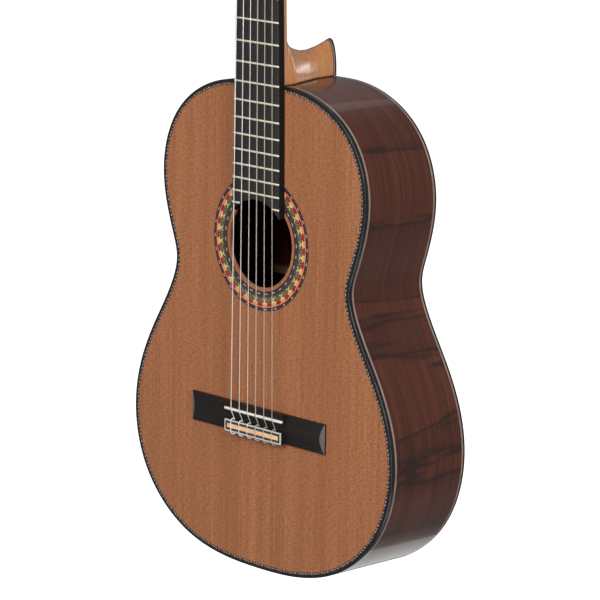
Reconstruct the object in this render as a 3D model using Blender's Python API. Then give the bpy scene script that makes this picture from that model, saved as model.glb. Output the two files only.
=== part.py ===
"""Classical guitar, upright. Metres, +Z from body to head, -Y out of the soundboard, +X the treble side.

The origin is where a wall hanger holds it: on the centre line, in the plane of the soundboard, at the
nut. Two functions place everything else: body() takes distances from the joint of neck and body, and
head() takes distances along and behind the tilted face of the head.
"""

import math

import bmesh
import bpy
import numpy as np
from mathutils import Matrix, Vector

MM = 0.001
GAP = 0.3 * MM

# Strings and neck
SCALE_LENGTH = 650 * MM
JOINT_Z = -SCALE_LENGTH / 2
SADDLE_Z = -329.3 * MM  # from the joint: half the scale and the compensation
FORWARD_SET = 3.5 * MM  # how far the neck leans forward at the nut
FRET_COUNT = 20
BOARD_TOP = 7.3 * MM
BOARD_HALF_NUT = 26.5 * MM
BOARD_HALF_JOINT = 31.8 * MM
BOARD_END_Z = -129 * MM  # the corners beside the sound hole
BOARD_END_RADIUS = 43.2 * MM
SPINE = (0.7 * MM, 3.8 * MM, 5.4 * MM)  # a hidden rail that joins the frets: its width, back and front
GROOVE = (1.2 * MM, -2 * MM, 5.8 * MM)  # the groove that clears it
STRING_DIAMETERS = [1.09 * MM, 0.89 * MM, 0.74 * MM, 1.02 * MM, 0.82 * MM, 0.71 * MM]  # bass to treble
NUT_SPACING = 45 * MM
SADDLE_SPACING = 59.5 * MM
STRING_RISE = 2.1 * MM  # the strings' centres over the fingerboard at the nut
STRINGS_A_SIDE = 3

# Body: half of its outline from the joint to the tail, then its thicknesses
OUTLINE = [
    (0, 0), (45, -1), (109, -26), (128, -46), (145, -100), (130, -167), (124.3, -188), (131, -215),
    (157, -261), (180, -310), (187, -350), (170.5, -416), (108, -471), (60, -484.5), (0, -488),
]
OUTLINE_STEPS = 34
TOP = 2.5 * MM
RIB = 3.0 * MM
BACK = 2.6 * MM
BACK_PEAK = (104 * MM, -310 * MM)  # greatest depth, and its place along the body
BACK_ARCH_ALONG = 3.85
BACK_ARCH_ACROSS = 5.0
BINDING = 3.0 * MM
BINDING_DEPTH = 4.3 * MM
PURFLING_INNER = 5.7 * MM
BACK_BINDING = 2.5 * MM
BACK_BINDING_DEPTH = 3.0 * MM
LINING = 9.3 * MM
HOLE_Z = -157.3 * MM
HOLE_RADIUS = 44.8 * MM
ROSETTE = (48 * MM, 68 * MM)
ROSETTE_DEPTH = 1.3 * MM
BACK_STRIP_HALF = 2 * MM
NECK_CORE_HALF = 9 * MM  # what is left of the heel between the slots for the ribs
FOOT_HALF = 30 * MM
HEEL_DEPTH = 86.6 * MM
CAP_DEPTH = (87.7 * MM, 90.3 * MM)

# Bridge, distances along the body from the joint
BRIDGE_Z = (-322.3 * MM, -352.3 * MM)
BRIDGE_HALF = 96.2 * MM
SADDLE_BLOCK_HALF = 42.8 * MM
TIE_BLOCK_HALF = 40.8 * MM
WING_FOOT = 1.9 * MM  # upright part of the bridge's ends, under their facets
WING_SLOPE = 2.5
WING_EDGE, WING_CREST = 2.0 * MM, 4.0 * MM
SADDLE_BLOCK = (-334.3 * MM, 7.0 * MM)  # its back edge and its height
TIE_BLOCK = (-340.3 * MM, 7.5 * MM)  # its front edge and its height
INLAY_THICKNESS = 1.2 * MM
SADDLE_TOP = 9.4 * MM
SADDLE_THICKNESS = 2.5 * MM
SADDLE_SLOT_HALF = 42 * MM
SADDLE_FLOOR = -3.5 * MM  # the bottom of the saddle's slot
TIE_HOLE_Y = -4.6 * MM

# Head and tuning machines
HEAD_TILT = math.radians(15)
HEAD_START = Vector((0, -5.4 * MM, 5.6 * MM))
HEAD_BACK = 18 * MM
HEAD_LENGTH = 190 * MM
HEAD_HALF = 36 * MM
VENEER = 1.8 * MM
SLOT_X = (8 * MM, 24 * MM)
SLOT_L = (22 * MM, 144 * MM)
ROLLER_L = [52 * MM, 87 * MM, 122 * MM]
ROLLER_DEPTH = 9 * MM
ROLLER_RADIUS = 5 * MM
PLATE = 1.2 * MM
GEAR_TEETH = 14
GEAR_PITCH_RADIUS = 5 * MM
GEAR_X = (40 * MM, 42.6 * MM)
WORM_PITCH = 2 * math.pi * GEAR_PITCH_RADIUS / GEAR_TEETH
WORM_OFFSET = 7.75 * MM
WORM_X = 41.3 * MM
WORM_CREST, WORM_ROOT = 3.25 * MM, 2.0 * MM
SHAFT_RADIUS = 1.5 * MM
SHAFT_BORE = 1.85 * MM
AXLE_RADIUS = 2.2 * MM
AXLE_BORE = 2.7 * MM
AXLE_TIP_RADIUS, AXLE_TIP_BORE = 1.6 * MM, 2.0 * MM
LUG_N = [(3.9 * MM, 5.1 * MM), (12.9 * MM, 14.1 * MM)]
LUG_HALF = 2.4 * MM
BUTTON_N = (21 * MM, 37 * MM)
BUTTON_HALVES = (4.2 * MM, 7.2 * MM)


# Frames of reference

def body(x, y, z):
    """A point from its distances to the joint of neck and body."""
    return Vector((x, y, JOINT_Z + z))


def head(x, length, depth):
    """A point of the head: across it, along it from the nut, and behind its front face."""
    along = Vector((0, math.sin(HEAD_TILT), math.cos(HEAD_TILT)))
    behind = Vector((0, math.cos(HEAD_TILT), -math.sin(HEAD_TILT)))
    return HEAD_START + Vector((x, 0, 0)) + along * length + behind * depth


HEAD_ALONG = head(0, 1, 0) - head(0, 0, 0)
HEAD_BEHIND = head(0, 0, 1) - head(0, 0, 0)


def neck_plane(z):
    """Where the neck's front face lies, z from the joint: it leans forward towards the nut."""
    return -FORWARD_SET * max(0.0, z) / -JOINT_Z


def back_depth(x, z):
    """The outer face of the arched back."""
    along = (z - BACK_PEAK[1]) ** 2 / (2 * BACK_ARCH_ALONG)
    return BACK_PEAK[0] - along - x * x / (2 * BACK_ARCH_ACROSS)


def board_half(z):
    return BOARD_HALF_JOINT + (BOARD_HALF_NUT - BOARD_HALF_JOINT) * z / -JOINT_Z


def fret_z(number):
    return -JOINT_Z - SCALE_LENGTH * (1 - 2 ** (-number / 12))


# Materials and meshes

def material(name, colour, roughness, metallic=0.0):
    made = bpy.data.materials.new(name)
    made.use_nodes = True
    shader = made.node_tree.nodes["Principled BSDF"]
    shader.inputs["Base Color"].default_value = (*colour, 1)
    shader.inputs["Roughness"].default_value = roughness
    shader.inputs["Metallic"].default_value = metallic
    return made


def solid(name, points, faces, finish):
    """A closed mesh object from its points and faces, with its faces turned outwards."""
    mesh = bpy.data.meshes.new(name)
    mesh.from_pydata([tuple(point) for point in points], [], faces)
    work = bmesh.new()
    work.from_mesh(mesh)
    bmesh.ops.recalc_face_normals(work, faces=work.faces)
    work.to_mesh(mesh)
    work.free()
    mesh.shade_smooth()
    mesh.set_sharp_from_angle(angle=math.radians(35))
    mesh.materials.append(finish)
    made = bpy.data.objects.new(name, mesh)
    bpy.context.scene.collection.objects.link(made)
    return made


def loft(name, rings, finish, closed=False):
    """Joins rings of equally many points, with a face on the first and the last unless it closes on itself."""
    count = len(rings[0])
    points = [point for ring in rings for point in ring]
    faces = []
    for row in range(len(rings) if closed else len(rings) - 1):
        here, there = row * count, (row + 1) % len(rings) * count
        for column in range(count):
            after = (column + 1) % count
            faces.append((here + column, here + after, there + after, there + column))
    if not closed:
        faces.append(tuple(range(count)))
        faces.append(tuple(range(len(points) - count, len(points))))
    return solid(name, points, faces, finish)


def rectangle(low_a, high_a, low_b, high_b):
    return [(low_a, low_b), (high_a, low_b), (high_a, high_b), (low_a, high_b)]


def box(name, low, high, finish, place=body):
    """A box in the body's or the head's directions."""
    corners = rectangle(low[1], high[1], low[2], high[2])
    return loft(name, [[place(x, y, z) for y, z in corners] for x in (low[0], high[0])], finish)


def turned(name, centre, axis, profile, finish, sides=12):
    """A round solid on an axis, from (distance along it, radius) pairs."""
    axis = axis.normalized()
    across = axis.orthogonal().normalized()
    up = axis.cross(across)
    angles = [2 * math.pi * step / sides for step in range(sides)]
    rings = [
        [centre + axis * at + (across * math.cos(a) + up * math.sin(a)) * radius for a in angles]
        for at, radius in profile
    ]
    return loft(name, rings, finish)


def pivot_at(made, point):
    """Puts the object's origin at a point, and leaves its shape where it is."""
    made.data.transform(Matrix.Translation(-point))
    made.location = point
    return made


def combine(target, other, operation):
    """Keeps a Boolean on the target, and leaves the other object out of the model."""
    modifier = target.modifiers.new(operation.lower(), "BOOLEAN")
    modifier.operation = operation
    modifier.solver = "EXACT"
    modifier.object = other
    other.hide_render = True
    other.display_type = "WIRE"


# The body's outline

def clamped_spline(values, knots, at, ends):
    """A cubic spline through the values, with the given slopes at its ends."""
    steps = np.diff(knots)
    slopes = np.diff(values) / steps
    count = len(values)
    matrix, right = np.zeros((count, count)), np.zeros(count)
    matrix[0, :2] = 2 * steps[0], steps[0]
    right[0] = 6 * (slopes[0] - ends[0])
    matrix[-1, -2:] = steps[-1], 2 * steps[-1]
    right[-1] = 6 * (ends[1] - slopes[-1])
    for i in range(1, count - 1):
        matrix[i, i - 1 : i + 2] = steps[i - 1], 2 * (steps[i - 1] + steps[i]), steps[i]
        right[i] = 6 * (slopes[i] - slopes[i - 1])
    bends = np.linalg.solve(matrix, right)
    span = np.clip(np.searchsorted(knots, at, side="right") - 1, 0, count - 2)
    step, t = steps[span], at - knots[span]
    rise = slopes[span] - step * (2 * bends[span] + bends[span + 1]) / 6
    twist = (bends[span + 1] - bends[span]) / (6 * step)
    return values[span] + rise * t + bends[span] / 2 * t**2 + twist * t**3


def make_outline():
    """Even steps round the treble half, each with its inward direction."""
    corners = np.array(OUTLINE) * MM
    knots = np.concatenate([[0], np.cumsum(np.hypot(*np.diff(corners, axis=0).T))])
    fine = np.linspace(0, knots[-1], 2000)
    x = clamped_spline(corners[:, 0], knots, fine, (1, -1))
    z = clamped_spline(corners[:, 1], knots, fine, (0, 0))
    length = np.concatenate([[0], np.cumsum(np.hypot(np.diff(x), np.diff(z)))])
    return length / length[-1], x, z, np.gradient(x), np.gradient(z)


OUTLINE_CURVE = make_outline()


def rim(u, inset):
    """A point (x, z) of the outline, moved inwards. u goes from 0 at the neck through 1 at the tail to 2."""
    length, xs, zs, dxs, dzs = OUTLINE_CURVE
    t = u if u <= 1 else 2 - u
    x, z = np.interp(t, length, xs), np.interp(t, length, zs)
    dx, dz = np.interp(t, length, dxs), np.interp(t, length, dzs)
    size = math.hypot(dx, dz)
    x, z = x + inset * dz / size, z - inset * dx / size
    return (x if u <= 1 else -x), z


def rim_at(x, tail=False):
    """The place u on the treble half where the outline passes x, near the neck or near the tail."""
    length, xs = OUTLINE_CURVE[:2]
    if tail:
        return float(np.interp(-x, -xs[-200:], length[-200:]))
    return float(np.interp(x, xs[:300], length[:300]))


def rim_steps(start, end):
    """The stations from start to end, on the shared even steps between them."""
    inner = [step / OUTLINE_STEPS for step in range(2 * OUTLINE_STEPS + 1)]
    margin = 0.2 / OUTLINE_STEPS
    return [start] + [u for u in inner if start + margin < u < end - margin] + [end]


def band(name, section, start, end, finish):
    """Sweeps a section round the rim. Its points are (inset, "front" or "back", distance from that face)."""
    def ring(u):
        points = []
        for inset, side, distance in section:
            x, z = rim(u, inset)
            points.append(body(x, distance if side == "front" else back_depth(x, z) - distance, z))
        return points

    whole = end - start >= 2
    stations = rim_steps(start, end)[: -1 if whole else None]
    return loft(name, [ring(u) for u in stations], finish, closed=whole)


def strip_section(inner, outer, front, back):
    """A plain four-sided section for a band."""
    return [(outer, *front), (inner, *front), (inner, *back), (outer, *back)]


# Body

def make_soundboard(finish):
    stations = [step / OUTLINE_STEPS for step in range(2 * OUTLINE_STEPS)]
    edge = [rim(u, PURFLING_INNER + 0.1 * MM) for u in stations]
    plate = loft("soundboard", [[body(x, y, z) for x, z in edge] for y in (0, TOP)], finish)
    centre = body(0, 0, HOLE_Z)
    through = [(-5 * MM, HOLE_RADIUS), (8 * MM, HOLE_RADIUS)]
    hole = turned("hole_cutter", centre, Vector((0, 1, 0)), through, finish, 40)
    combine(plate, hole, "DIFFERENCE")
    combine(plate, ring("rosette_cutter", centre, ROSETTE, -MM, ROSETTE_DEPTH, finish), "DIFFERENCE")
    inlay = (ROSETTE[0] + 0.1 * MM, ROSETTE[1] - 0.1 * MM)
    return ring("rosette", centre, inlay, 0, ROSETTE_DEPTH - 0.1 * MM, finish)


def ring(name, centre, radii, front, back, finish, sides=40):
    """A flat ring in the plane of the soundboard."""
    rings = []
    corners = rectangle(*radii, front, back)
    for step in range(sides):
        angle = 2 * math.pi * step / sides
        out = Vector((math.cos(angle), 0, math.sin(angle)))
        rings.append([centre + out * radius + Vector((0, y, 0)) for radius, y in corners])
    return loft(name, rings, finish, closed=True)


def make_ribs(rosewood, binding, mosaic, cedar):
    """The ribs, with their bindings, linings, tail block and end graft."""
    under, over = ("front", BINDING_DEPTH + GAP), ("back", BACK_BINDING_DEPTH + GAP)
    rib = strip_section(0, RIB, under, over)
    neck_side, graft_half = rim_at(NECK_CORE_HALF + GAP), rim_at(6 * MM, tail=True)
    graft_edge = rim_at(6 * MM + GAP, tail=True)
    band("side_treble", rib, neck_side, graft_edge, rosewood)
    band("side_bass", rib, 2 - graft_edge, 2 - neck_side, rosewood)
    band("end_graft", rib, graft_half, 2 - graft_half, binding)
    front_edge = strip_section(0, BINDING, ("front", 0), ("front", BINDING_DEPTH))
    band("binding_top", front_edge, 0, 2, binding)
    purfling = strip_section(BINDING + 0.1 * MM, PURFLING_INNER, ("front", 0), ("front", TOP))
    band("purfling_top", purfling, 0, 2, mosaic)
    back_edge = strip_section(0, BACK_BINDING, ("back", BACK_BINDING_DEPTH), ("back", 0))
    band("binding_back", back_edge, 0, 2, binding)
    inner = RIB + GAP
    foot_side = rim_at(FOOT_HALF + 2 * MM)
    top_lining = [(inner, "front", BINDING_DEPTH + GAP), (LINING, "front", TOP + GAP),
                  (LINING, "front", 8.5 * MM), (inner, "front", 18 * MM)]
    back_lining = [(inner, "back", BACK + 0.7 * MM), (LINING, "back", BACK + 0.7 * MM),
                   (LINING, "back", 9 * MM), (inner, "back", 18 * MM)]
    band("lining_top", top_lining, foot_side, 2 - foot_side, cedar)
    band("lining_back", back_lining, foot_side, 2 - foot_side, cedar)
    block_side = rim_at(35 * MM, tail=True)
    notch = LINING + 0.4 * MM
    block = [(notch, "front", TOP + GAP), (24 * MM, "front", TOP + GAP), (24 * MM, "back", BACK + GAP),
             (notch, "back", BACK + GAP), (notch, "back", 9.3 * MM), (inner, "back", 18.6 * MM),
             (inner, "front", 18.6 * MM), (notch, "front", 8.8 * MM)]
    band("tail_block", block, block_side, 2 - block_side, cedar)


def make_back(rosewood, binding):
    """Two arched plates, edge to edge on a narrow inlaid strip."""
    stations = [step / OUTLINE_STEPS for step in range(OUTLINE_STEPS + 1)]
    edge = [rim(u, BACK_BINDING + GAP) for u in stations]
    seam = BACK_STRIP_HALF + 0.1 * MM
    end_half = 14 * MM  # the first and last rows stop here, where the outline runs nearly straight across
    top_end = rim(rim_at(end_half), BACK_BINDING + GAP)
    tail_end = rim(rim_at(end_half, tail=True), BACK_BINDING + GAP)
    rows = [top_end] + [(x, z) for x, z in edge if x > end_half + 2 * MM] + [tail_end]
    for name, side in (("back_treble", 1), ("back_bass", -1)):
        rings = []
        for x, z in rows:
            across = [seam + (x - seam) * t for t in (0, 0.5, 1)]
            outer = [body(side * at, back_depth(at, z), z) for at in across]
            inner = [body(side * at, back_depth(at, z) - BACK, z) for at in reversed(across)]
            rings.append(outer + inner)
        loft(name, rings, rosewood)
    rings = []
    for z in np.linspace(top_end[1], tail_end[1], 9):
        corners = rectangle(-BACK_STRIP_HALF, BACK_STRIP_HALF, back_depth(0, z), back_depth(0, z) - BACK)
        rings.append([body(x, y, z) for x, y in corners])
    loft("back_strip", rings, binding)


def inside_half(z):
    """Half of the space between the linings at z."""
    edge = [rim(step / 200, LINING + 1.5 * MM) for step in range(201)]
    return float(np.interp(-z, [-at[1] for at in edge], [at[0] for at in edge]))


def bar(name, z, width, height, from_back, finish):
    """A cross bar glued to the soundboard or to the back, scalloped down at both ends."""
    half = min(inside_half(z - width / 2), inside_half(z + width / 2))
    rings = []
    for x, tall in ((-half, 0.3), (-0.75 * half, 1), (0, 1), (0.75 * half, 1), (half, 0.3)):
        base = back_depth(x, z) - BACK - 2 * GAP if from_back else TOP + GAP
        free = base - height * tall if from_back else base + height * tall
        corners = rectangle(base, free, z - width / 2, z + width / 2)
        rings.append([body(x, y, at) for y, at in corners])
    return loft(name, rings, finish)


def make_bracing(spruce):
    """Harmonic bars and a fan under the soundboard, ladder bars and a graft over the back's seam."""
    bar("harmonic_bar_upper", -82 * MM, 8 * MM, 16 * MM, False, spruce)
    bar("harmonic_bar_lower", -216 * MM, 8 * MM, 16 * MM, False, spruce)
    under = TOP + GAP
    low, high = (-90 * MM, under + 0.2 * MM, -352 * MM), (90 * MM, under + 2 * MM, -323 * MM)
    fan = box("fan_bracing", low, high, spruce)
    for number in range(-3, 4):
        top_x, low_x = number * 14 * MM, number * 30 * MM
        low_z = (-448 + 7 * abs(number)) * MM
        stations = [(top_x, -226 * MM, 2 * MM), (top_x * 1.3, -250 * MM, 5 * MM), (low_x, low_z, 3 * MM)]
        rings = []
        for x, z, tall in stations:
            section = [(-3 * MM, under), (3 * MM, under), (2 * MM, under + tall), (-2 * MM, under + tall)]
            rings.append([body(x + dx, y, z) for dx, y in section])
        combine(fan, loft(f"fan_strut_{number + 4}", rings, spruce), "UNION")
    seam = []
    for z in np.linspace(-64 * MM, -455 * MM, 9):
        base = back_depth(0, z) - BACK - 2 * GAP
        seam.append([body(x, y, z) for x, y in rectangle(-9 * MM, 9 * MM, base, base - 2.5 * MM)])
    graft = loft("back_bracing", seam, spruce)
    for number, z in enumerate((-95 * MM, -205 * MM, -330 * MM, -420 * MM)):
        combine(graft, bar(f"back_bar_{number + 1}", z, 7 * MM, 13 * MM, True, spruce), "UNION")


# Neck

def heel_half(depth):
    """Half of the heel's width against the body."""
    depths, halves = [0, 15, 40, 62, 91], [30.5, 30, 21, 13, 10]
    return float(np.interp(depth / MM, depths, halves)) * MM


def heel_reach(depth):
    """How far the heel reaches up the neck: hollow in the middle, out to a lip at the cap."""
    depths = [6, 12, 16, 20, 27, 36, 48, 60, 75, 91]
    reaches = [62, 54, 46, 41, 35.5, 31.5, 28, 27.5, 31, 37]
    return float(np.interp(depth / MM, depths, reaches)) * MM


def heel_ring(depth, low):
    """The heel's section at one depth, from the body's face at low."""
    half, reach = heel_half(depth), heel_reach(depth)
    points = []
    for step in range(17):
        angle = math.pi * step / 16
        c, s = math.cos(angle), math.sin(angle)
        x = half * math.copysign(abs(c) ** 0.85, c)
        points.append(body(x, depth, low + (reach - low) * abs(s) ** 0.85))
    return points


def neck_ring(z, depth, half):
    """The shaft's section: flat under the fingerboard, and round behind."""
    front = neck_plane(z)
    angles = [math.pi * step / 14 for step in range(1, 14)]
    points = [body(half * math.cos(a), front + depth * math.sin(a) ** 1.1, z) for a in angles]
    return [body(half, front, z)] + points + [body(-half, front, z)]


def make_neck(cedar, ebony, veneer):
    stations = [(-JOINT_Z + 5.3 * MM, 16), (-JOINT_Z - 8 * MM, 14.5), (-JOINT_Z - 60 * MM, 15),
                (170 * MM, 15.5), (60 * MM, 16), (GAP, 17)]
    neck = loft("neck", [neck_ring(z, deep * MM, board_half(z) - 0.2 * MM) for z, deep in stations], cedar)
    depths = [5, 10, 13, 16, 20, 27, 36, 48, 60, 75, HEEL_DEPTH / MM]
    combine(neck, loft("heel", [heel_ring(d * MM, GAP) for d in depths], cedar), "UNION")
    core = NECK_CORE_HALF
    low, high = (-core, BINDING_DEPTH + GAP, -6 * MM), (core, HEEL_DEPTH - GAP, 2 * MM)
    combine(neck, box("neck_core", low, high, cedar), "UNION")
    start, toe, shelf = -3.9 * MM, -60 * MM, -28 * MM
    profile = [(start, TOP + GAP), (shelf, TOP + GAP), (shelf, 60 * MM), (toe, 85 * MM)]
    profile += [(z, back_depth(FOOT_HALF, z) - BACK - GAP) for z in (toe, start)]
    foot = loft("neck_foot", [[body(x, y, z) for z, y in profile] for x in (-FOOT_HALF, FOOT_HALF)], cedar)
    combine(neck, foot, "UNION")
    combine(neck, head_plate("head_blank", VENEER + GAP, HEAD_BACK, cedar), "UNION")
    for side in (-1, 1):
        combine(neck, slot_cutter(side, cedar), "DIFFERENCE")
        for length in ROLLER_L:
            bore = [(3.5 * MM, AXLE_BORE), (HEAD_HALF + 2 * MM, AXLE_BORE)]
            centre = head(0, length, ROLLER_DEPTH)
            combine(neck, turned("roller_bore", centre, Vector((side, 0, 0)), bore, cedar, 8), "DIFFERENCE")
    thin = [HEEL_DEPTH + 0.2 * MM, CAP_DEPTH[0] - 0.2 * MM]
    loft("heel_veneer", [heel_ring(d, GAP) for d in thin], veneer)
    loft("heel_cap", [heel_ring(d, GAP) for d in CAP_DEPTH], ebony)
    face = head_plate("head_veneer", 0, VENEER, ebony)
    for side in (-1, 1):
        combine(face, slot_cutter(side, ebony), "DIFFERENCE")


def head_plate(name, front, back, finish):
    """The head's outline between two depths, with a plain arched crest."""
    shoulder = [(26, 0.5), (29, 8), (33, 17), (36, 26)]
    crest = [(36, 172), (34, 179), (26, 182), (16, 183.5), (8, 188), (0, 190)]
    treble = shoulder + crest
    edge = treble + [(-x, length) for x, length in reversed(treble[:-1])]
    rings = [[head(x * MM, length * MM, depth) for x, length in edge] for depth in (front, back)]
    return loft(name, rings, finish)


def slot_cutter(side, finish):
    middle, radius = sum(SLOT_X) / 2, (SLOT_X[1] - SLOT_X[0]) / 2
    edge = []
    for end, first in ((SLOT_L[1] - radius, 0), (SLOT_L[0] + radius, math.pi)):
        for step in range(7):
            angle = first + math.pi * step / 6
            edge.append((side * (middle + radius * math.cos(angle)), end + radius * math.sin(angle)))
    rings = [[head(x, length, depth) for x, length in edge] for depth in (-5 * MM, HEAD_BACK + 5 * MM)]
    return loft("slot_cutter", rings, finish)


def make_board(ebony, nickel):
    """Fingerboard, and its frets on hidden rails in grooves under its surface."""
    rings = []
    for z in (-JOINT_Z, 0, BOARD_END_Z):
        half, plane = board_half(z), neck_plane(z)
        rings.append([body(x, y, z) for x, y in rectangle(-half, half, plane - GAP, plane - BOARD_TOP)])
    board = loft("fingerboard", rings, ebony)
    around = [(-12 * MM, BOARD_END_RADIUS), (5 * MM, BOARD_END_RADIUS)]
    end = turned("board_end_cutter", body(0, 0, HOLE_Z), Vector((0, 1, 0)), around, ebony, 40)
    combine(board, end, "DIFFERENCE")
    before_last, last, aside = fret_z(FRET_COUNT - 1), fret_z(FRET_COUNT), 27.5 * MM
    frets = rail("frets", 0, SPINE, fret_z(1), before_last, nickel)
    rails = [(0, fret_z(1), before_last), (-aside, before_last, last), (aside, before_last, last)]
    for x, start, stop in rails:
        groove = rail("groove", x, GROOVE, start + 1.5 * MM, stop - 1.5 * MM, ebony)
        combine(board, groove, "DIFFERENCE")
        if x:
            combine(frets, rail("fret_rail", x, SPINE, start, stop, nickel), "UNION")
    for number in range(1, FRET_COUNT + 1):
        add_fret(number, board, frets, nickel)


def rail(name, x, section, start, stop, finish):
    """A strip along the fingerboard. Its section is a width and two heights over the neck's face."""
    width, back, front = section
    stations = [start, max(stop, 0), stop - MM] if start > 0 else [start, stop]
    rings = []
    for z in stations:
        plane = neck_plane(z)
        corners = rectangle(-width / 2, width / 2, back, front)
        rings.append([body(x + across, plane - height, z) for across, height in corners])
    return loft(name, rings, finish)


def add_fret(number, board, frets, finish):
    """One fret and its slot. The last is in two parts, either side of the board's hollow end."""
    z, outer = fret_z(number), board_half(fret_z(number)) - 0.5 * MM
    spans = [(-outer, outer)]
    if number == FRET_COUNT:
        inner = math.sqrt(BOARD_END_RADIUS**2 - (z - HOLE_Z) ** 2) + MM
        spans = [(-outer, -inner), (inner, outer)]
    top = neck_plane(z) - BOARD_TOP
    for low, high in spans:
        combine(frets, fret(low, high, z, finish), "UNION")
        corner, opposite = (low - GAP, top - MM, z - 0.5 * MM), (high + GAP, top + 2.6 * MM, z + 0.5 * MM)
        combine(board, box("fret_slot", corner, opposite, finish), "DIFFERENCE")


def fret(low, high, z, finish):
    """A crowned bar with its tang."""
    top = neck_plane(z) - BOARD_TOP
    crown = [(-0.95, 0.1), (-0.45, 0.85), (0.45, 0.85), (0.95, 0.1)]
    tang = [(0.25, 0.1), (0.25, -2.3), (-0.25, -2.3), (-0.25, 0.1)]
    rings = [[body(x, top - up * MM, z + along * MM) for along, up in crown + tang] for x in (low, high)]
    return loft("fret", rings, finish)


# Bridge and strings

def string_x(number, spacing):
    return spacing * (number / 5 - 0.5)


def make_bridge(rosewood, bone, inlay):
    low, high = BRIDGE_Z[1], BRIDGE_Z[0]
    profile = [(low, -GAP)]
    for step in range(9):
        z = low + (high - low) * step / 8
        profile.append((z, -(WING_EDGE + (WING_CREST - WING_EDGE) * math.sin(math.pi * step / 8))))
    profile.append((high, -GAP))
    left, right = wing_rings(-1, profile), wing_rings(1, profile)
    bridge = loft("bridge", left + right[::-1], rosewood)
    edge, tall = SADDLE_BLOCK
    combine(bridge, block_of("saddle_block", SADDLE_BLOCK_HALF, high, edge, tall, rosewood), "UNION")
    edge, tall = TIE_BLOCK
    combine(bridge, block_of("tie_block", TIE_BLOCK_HALF, edge, low, tall, rosewood), "UNION")
    half = SADDLE_THICKNESS / 2 + GAP
    slot = (-SADDLE_SLOT_HALF, -9 * MM, SADDLE_Z - half), (SADDLE_SLOT_HALF, SADDLE_FLOOR, SADDLE_Z + half)
    combine(bridge, box("saddle_slot", *slot, rosewood), "DIFFERENCE")
    span = [(low - MM, 1.0 * MM), (edge + MM, 1.0 * MM)]
    for number in range(len(STRING_DIAMETERS)):
        at = Vector((string_x(number, SADDLE_SPACING), TIE_HOLE_Y, JOINT_Z))
        combine(bridge, turned("tie_hole", at, Vector((0, 0, 1)), span, rosewood, 8), "DIFFERENCE")
    make_saddle(bone)
    inlay_back = -TIE_BLOCK[1] - 0.2 * MM
    inlay_front = -TIE_BLOCK[1] - INLAY_THICKNESS
    box("tie_block_inlay", (-TIE_BLOCK_HALF, inlay_front, low), (TIE_BLOCK_HALF, inlay_back, edge), inlay)


def wing_rings(side, profile):
    """The upright end of a wing, and the section where the facet over it starts."""
    foot = [body(side * BRIDGE_HALF, max(y, -WING_FOOT), z) for z, y in profile]
    inset = [WING_SLOPE * max(0.05 * MM, -y - WING_FOOT) for z, y in profile]
    return [foot, [body(side * (BRIDGE_HALF - in_by), y, z) for in_by, (z, y) in zip(inset, profile)]]


def make_saddle(bone):
    """A bar with a round crown, clear of its slot on every side."""
    half, foot, top = SADDLE_THICKNESS / 2, SADDLE_FLOOR - GAP, -SADDLE_TOP
    crown = [(half, 1.0 * MM), (0.7 * half, 0.45 * MM), (0.15 * half, 0)]
    profile = [(foot, -half), (foot, half)] + [(top + drop, z) for z, drop in crown]
    profile += [(top + drop, -z) for z, drop in reversed(crown)]
    reach = SADDLE_SLOT_HALF - GAP
    loft("saddle", [[body(x, y, SADDLE_Z + z) for y, z in profile] for x in (-reach, reach)], bone)


def block_of(name, half, front, back, tall, finish):
    """A raised block of the bridge, its base inside the wings' wood."""
    return box(name, (-half, -tall, back), (half, -1 * MM, front), finish)


def roller_of(number):
    """Side and place along the head of the roller that takes a string, 0 to 5 from bass to treble."""
    side = -1 if number < STRINGS_A_SIDE else 1
    order = number if number < STRINGS_A_SIDE else 2 * STRINGS_A_SIDE - 1 - number
    return side, ROLLER_L[order], (20 - 4.5 * order) * MM


def string_route(number):
    """From the tie block through its hole, over the saddle and the nut, to the front of its roller."""
    radius = STRING_DIAMETERS[number] / 2
    at_saddle, at_nut = string_x(number, SADDLE_SPACING), string_x(number, NUT_SPACING)
    side, length, across = roller_of(number)
    nut = body(at_nut, neck_plane(-JOINT_Z) - BOARD_TOP - STRING_RISE, -JOINT_Z + 0.5 * MM)
    reach, clear = head(side * across, length, ROLLER_DEPTH) - nut, ROLLER_RADIUS + GAP + radius
    flat = Vector((0, reach.y, reach.z))
    turn = math.asin(clear / flat.length)
    towards = flat.normalized()
    front = Vector((0, -towards.z, towards.y))
    return [
        body(at_saddle, TIE_HOLE_Y, BRIDGE_Z[1] - 0.5 * MM),
        body(at_saddle, TIE_HOLE_Y, TIE_BLOCK[0]),
        body(at_saddle, -SADDLE_TOP - 0.2 * MM - radius, SADDLE_Z),
        nut,
        nut + reach + (front * math.cos(turn) - towards * math.sin(turn)) * clear,
    ]


def make_strings(steel, nylon):
    for number, wide in enumerate(STRING_DIAMETERS):
        finish = steel if number < STRINGS_A_SIDE else nylon
        tube(f"string_{2 * STRINGS_A_SIDE - number}", string_route(number), wide / 2, finish)


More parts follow.
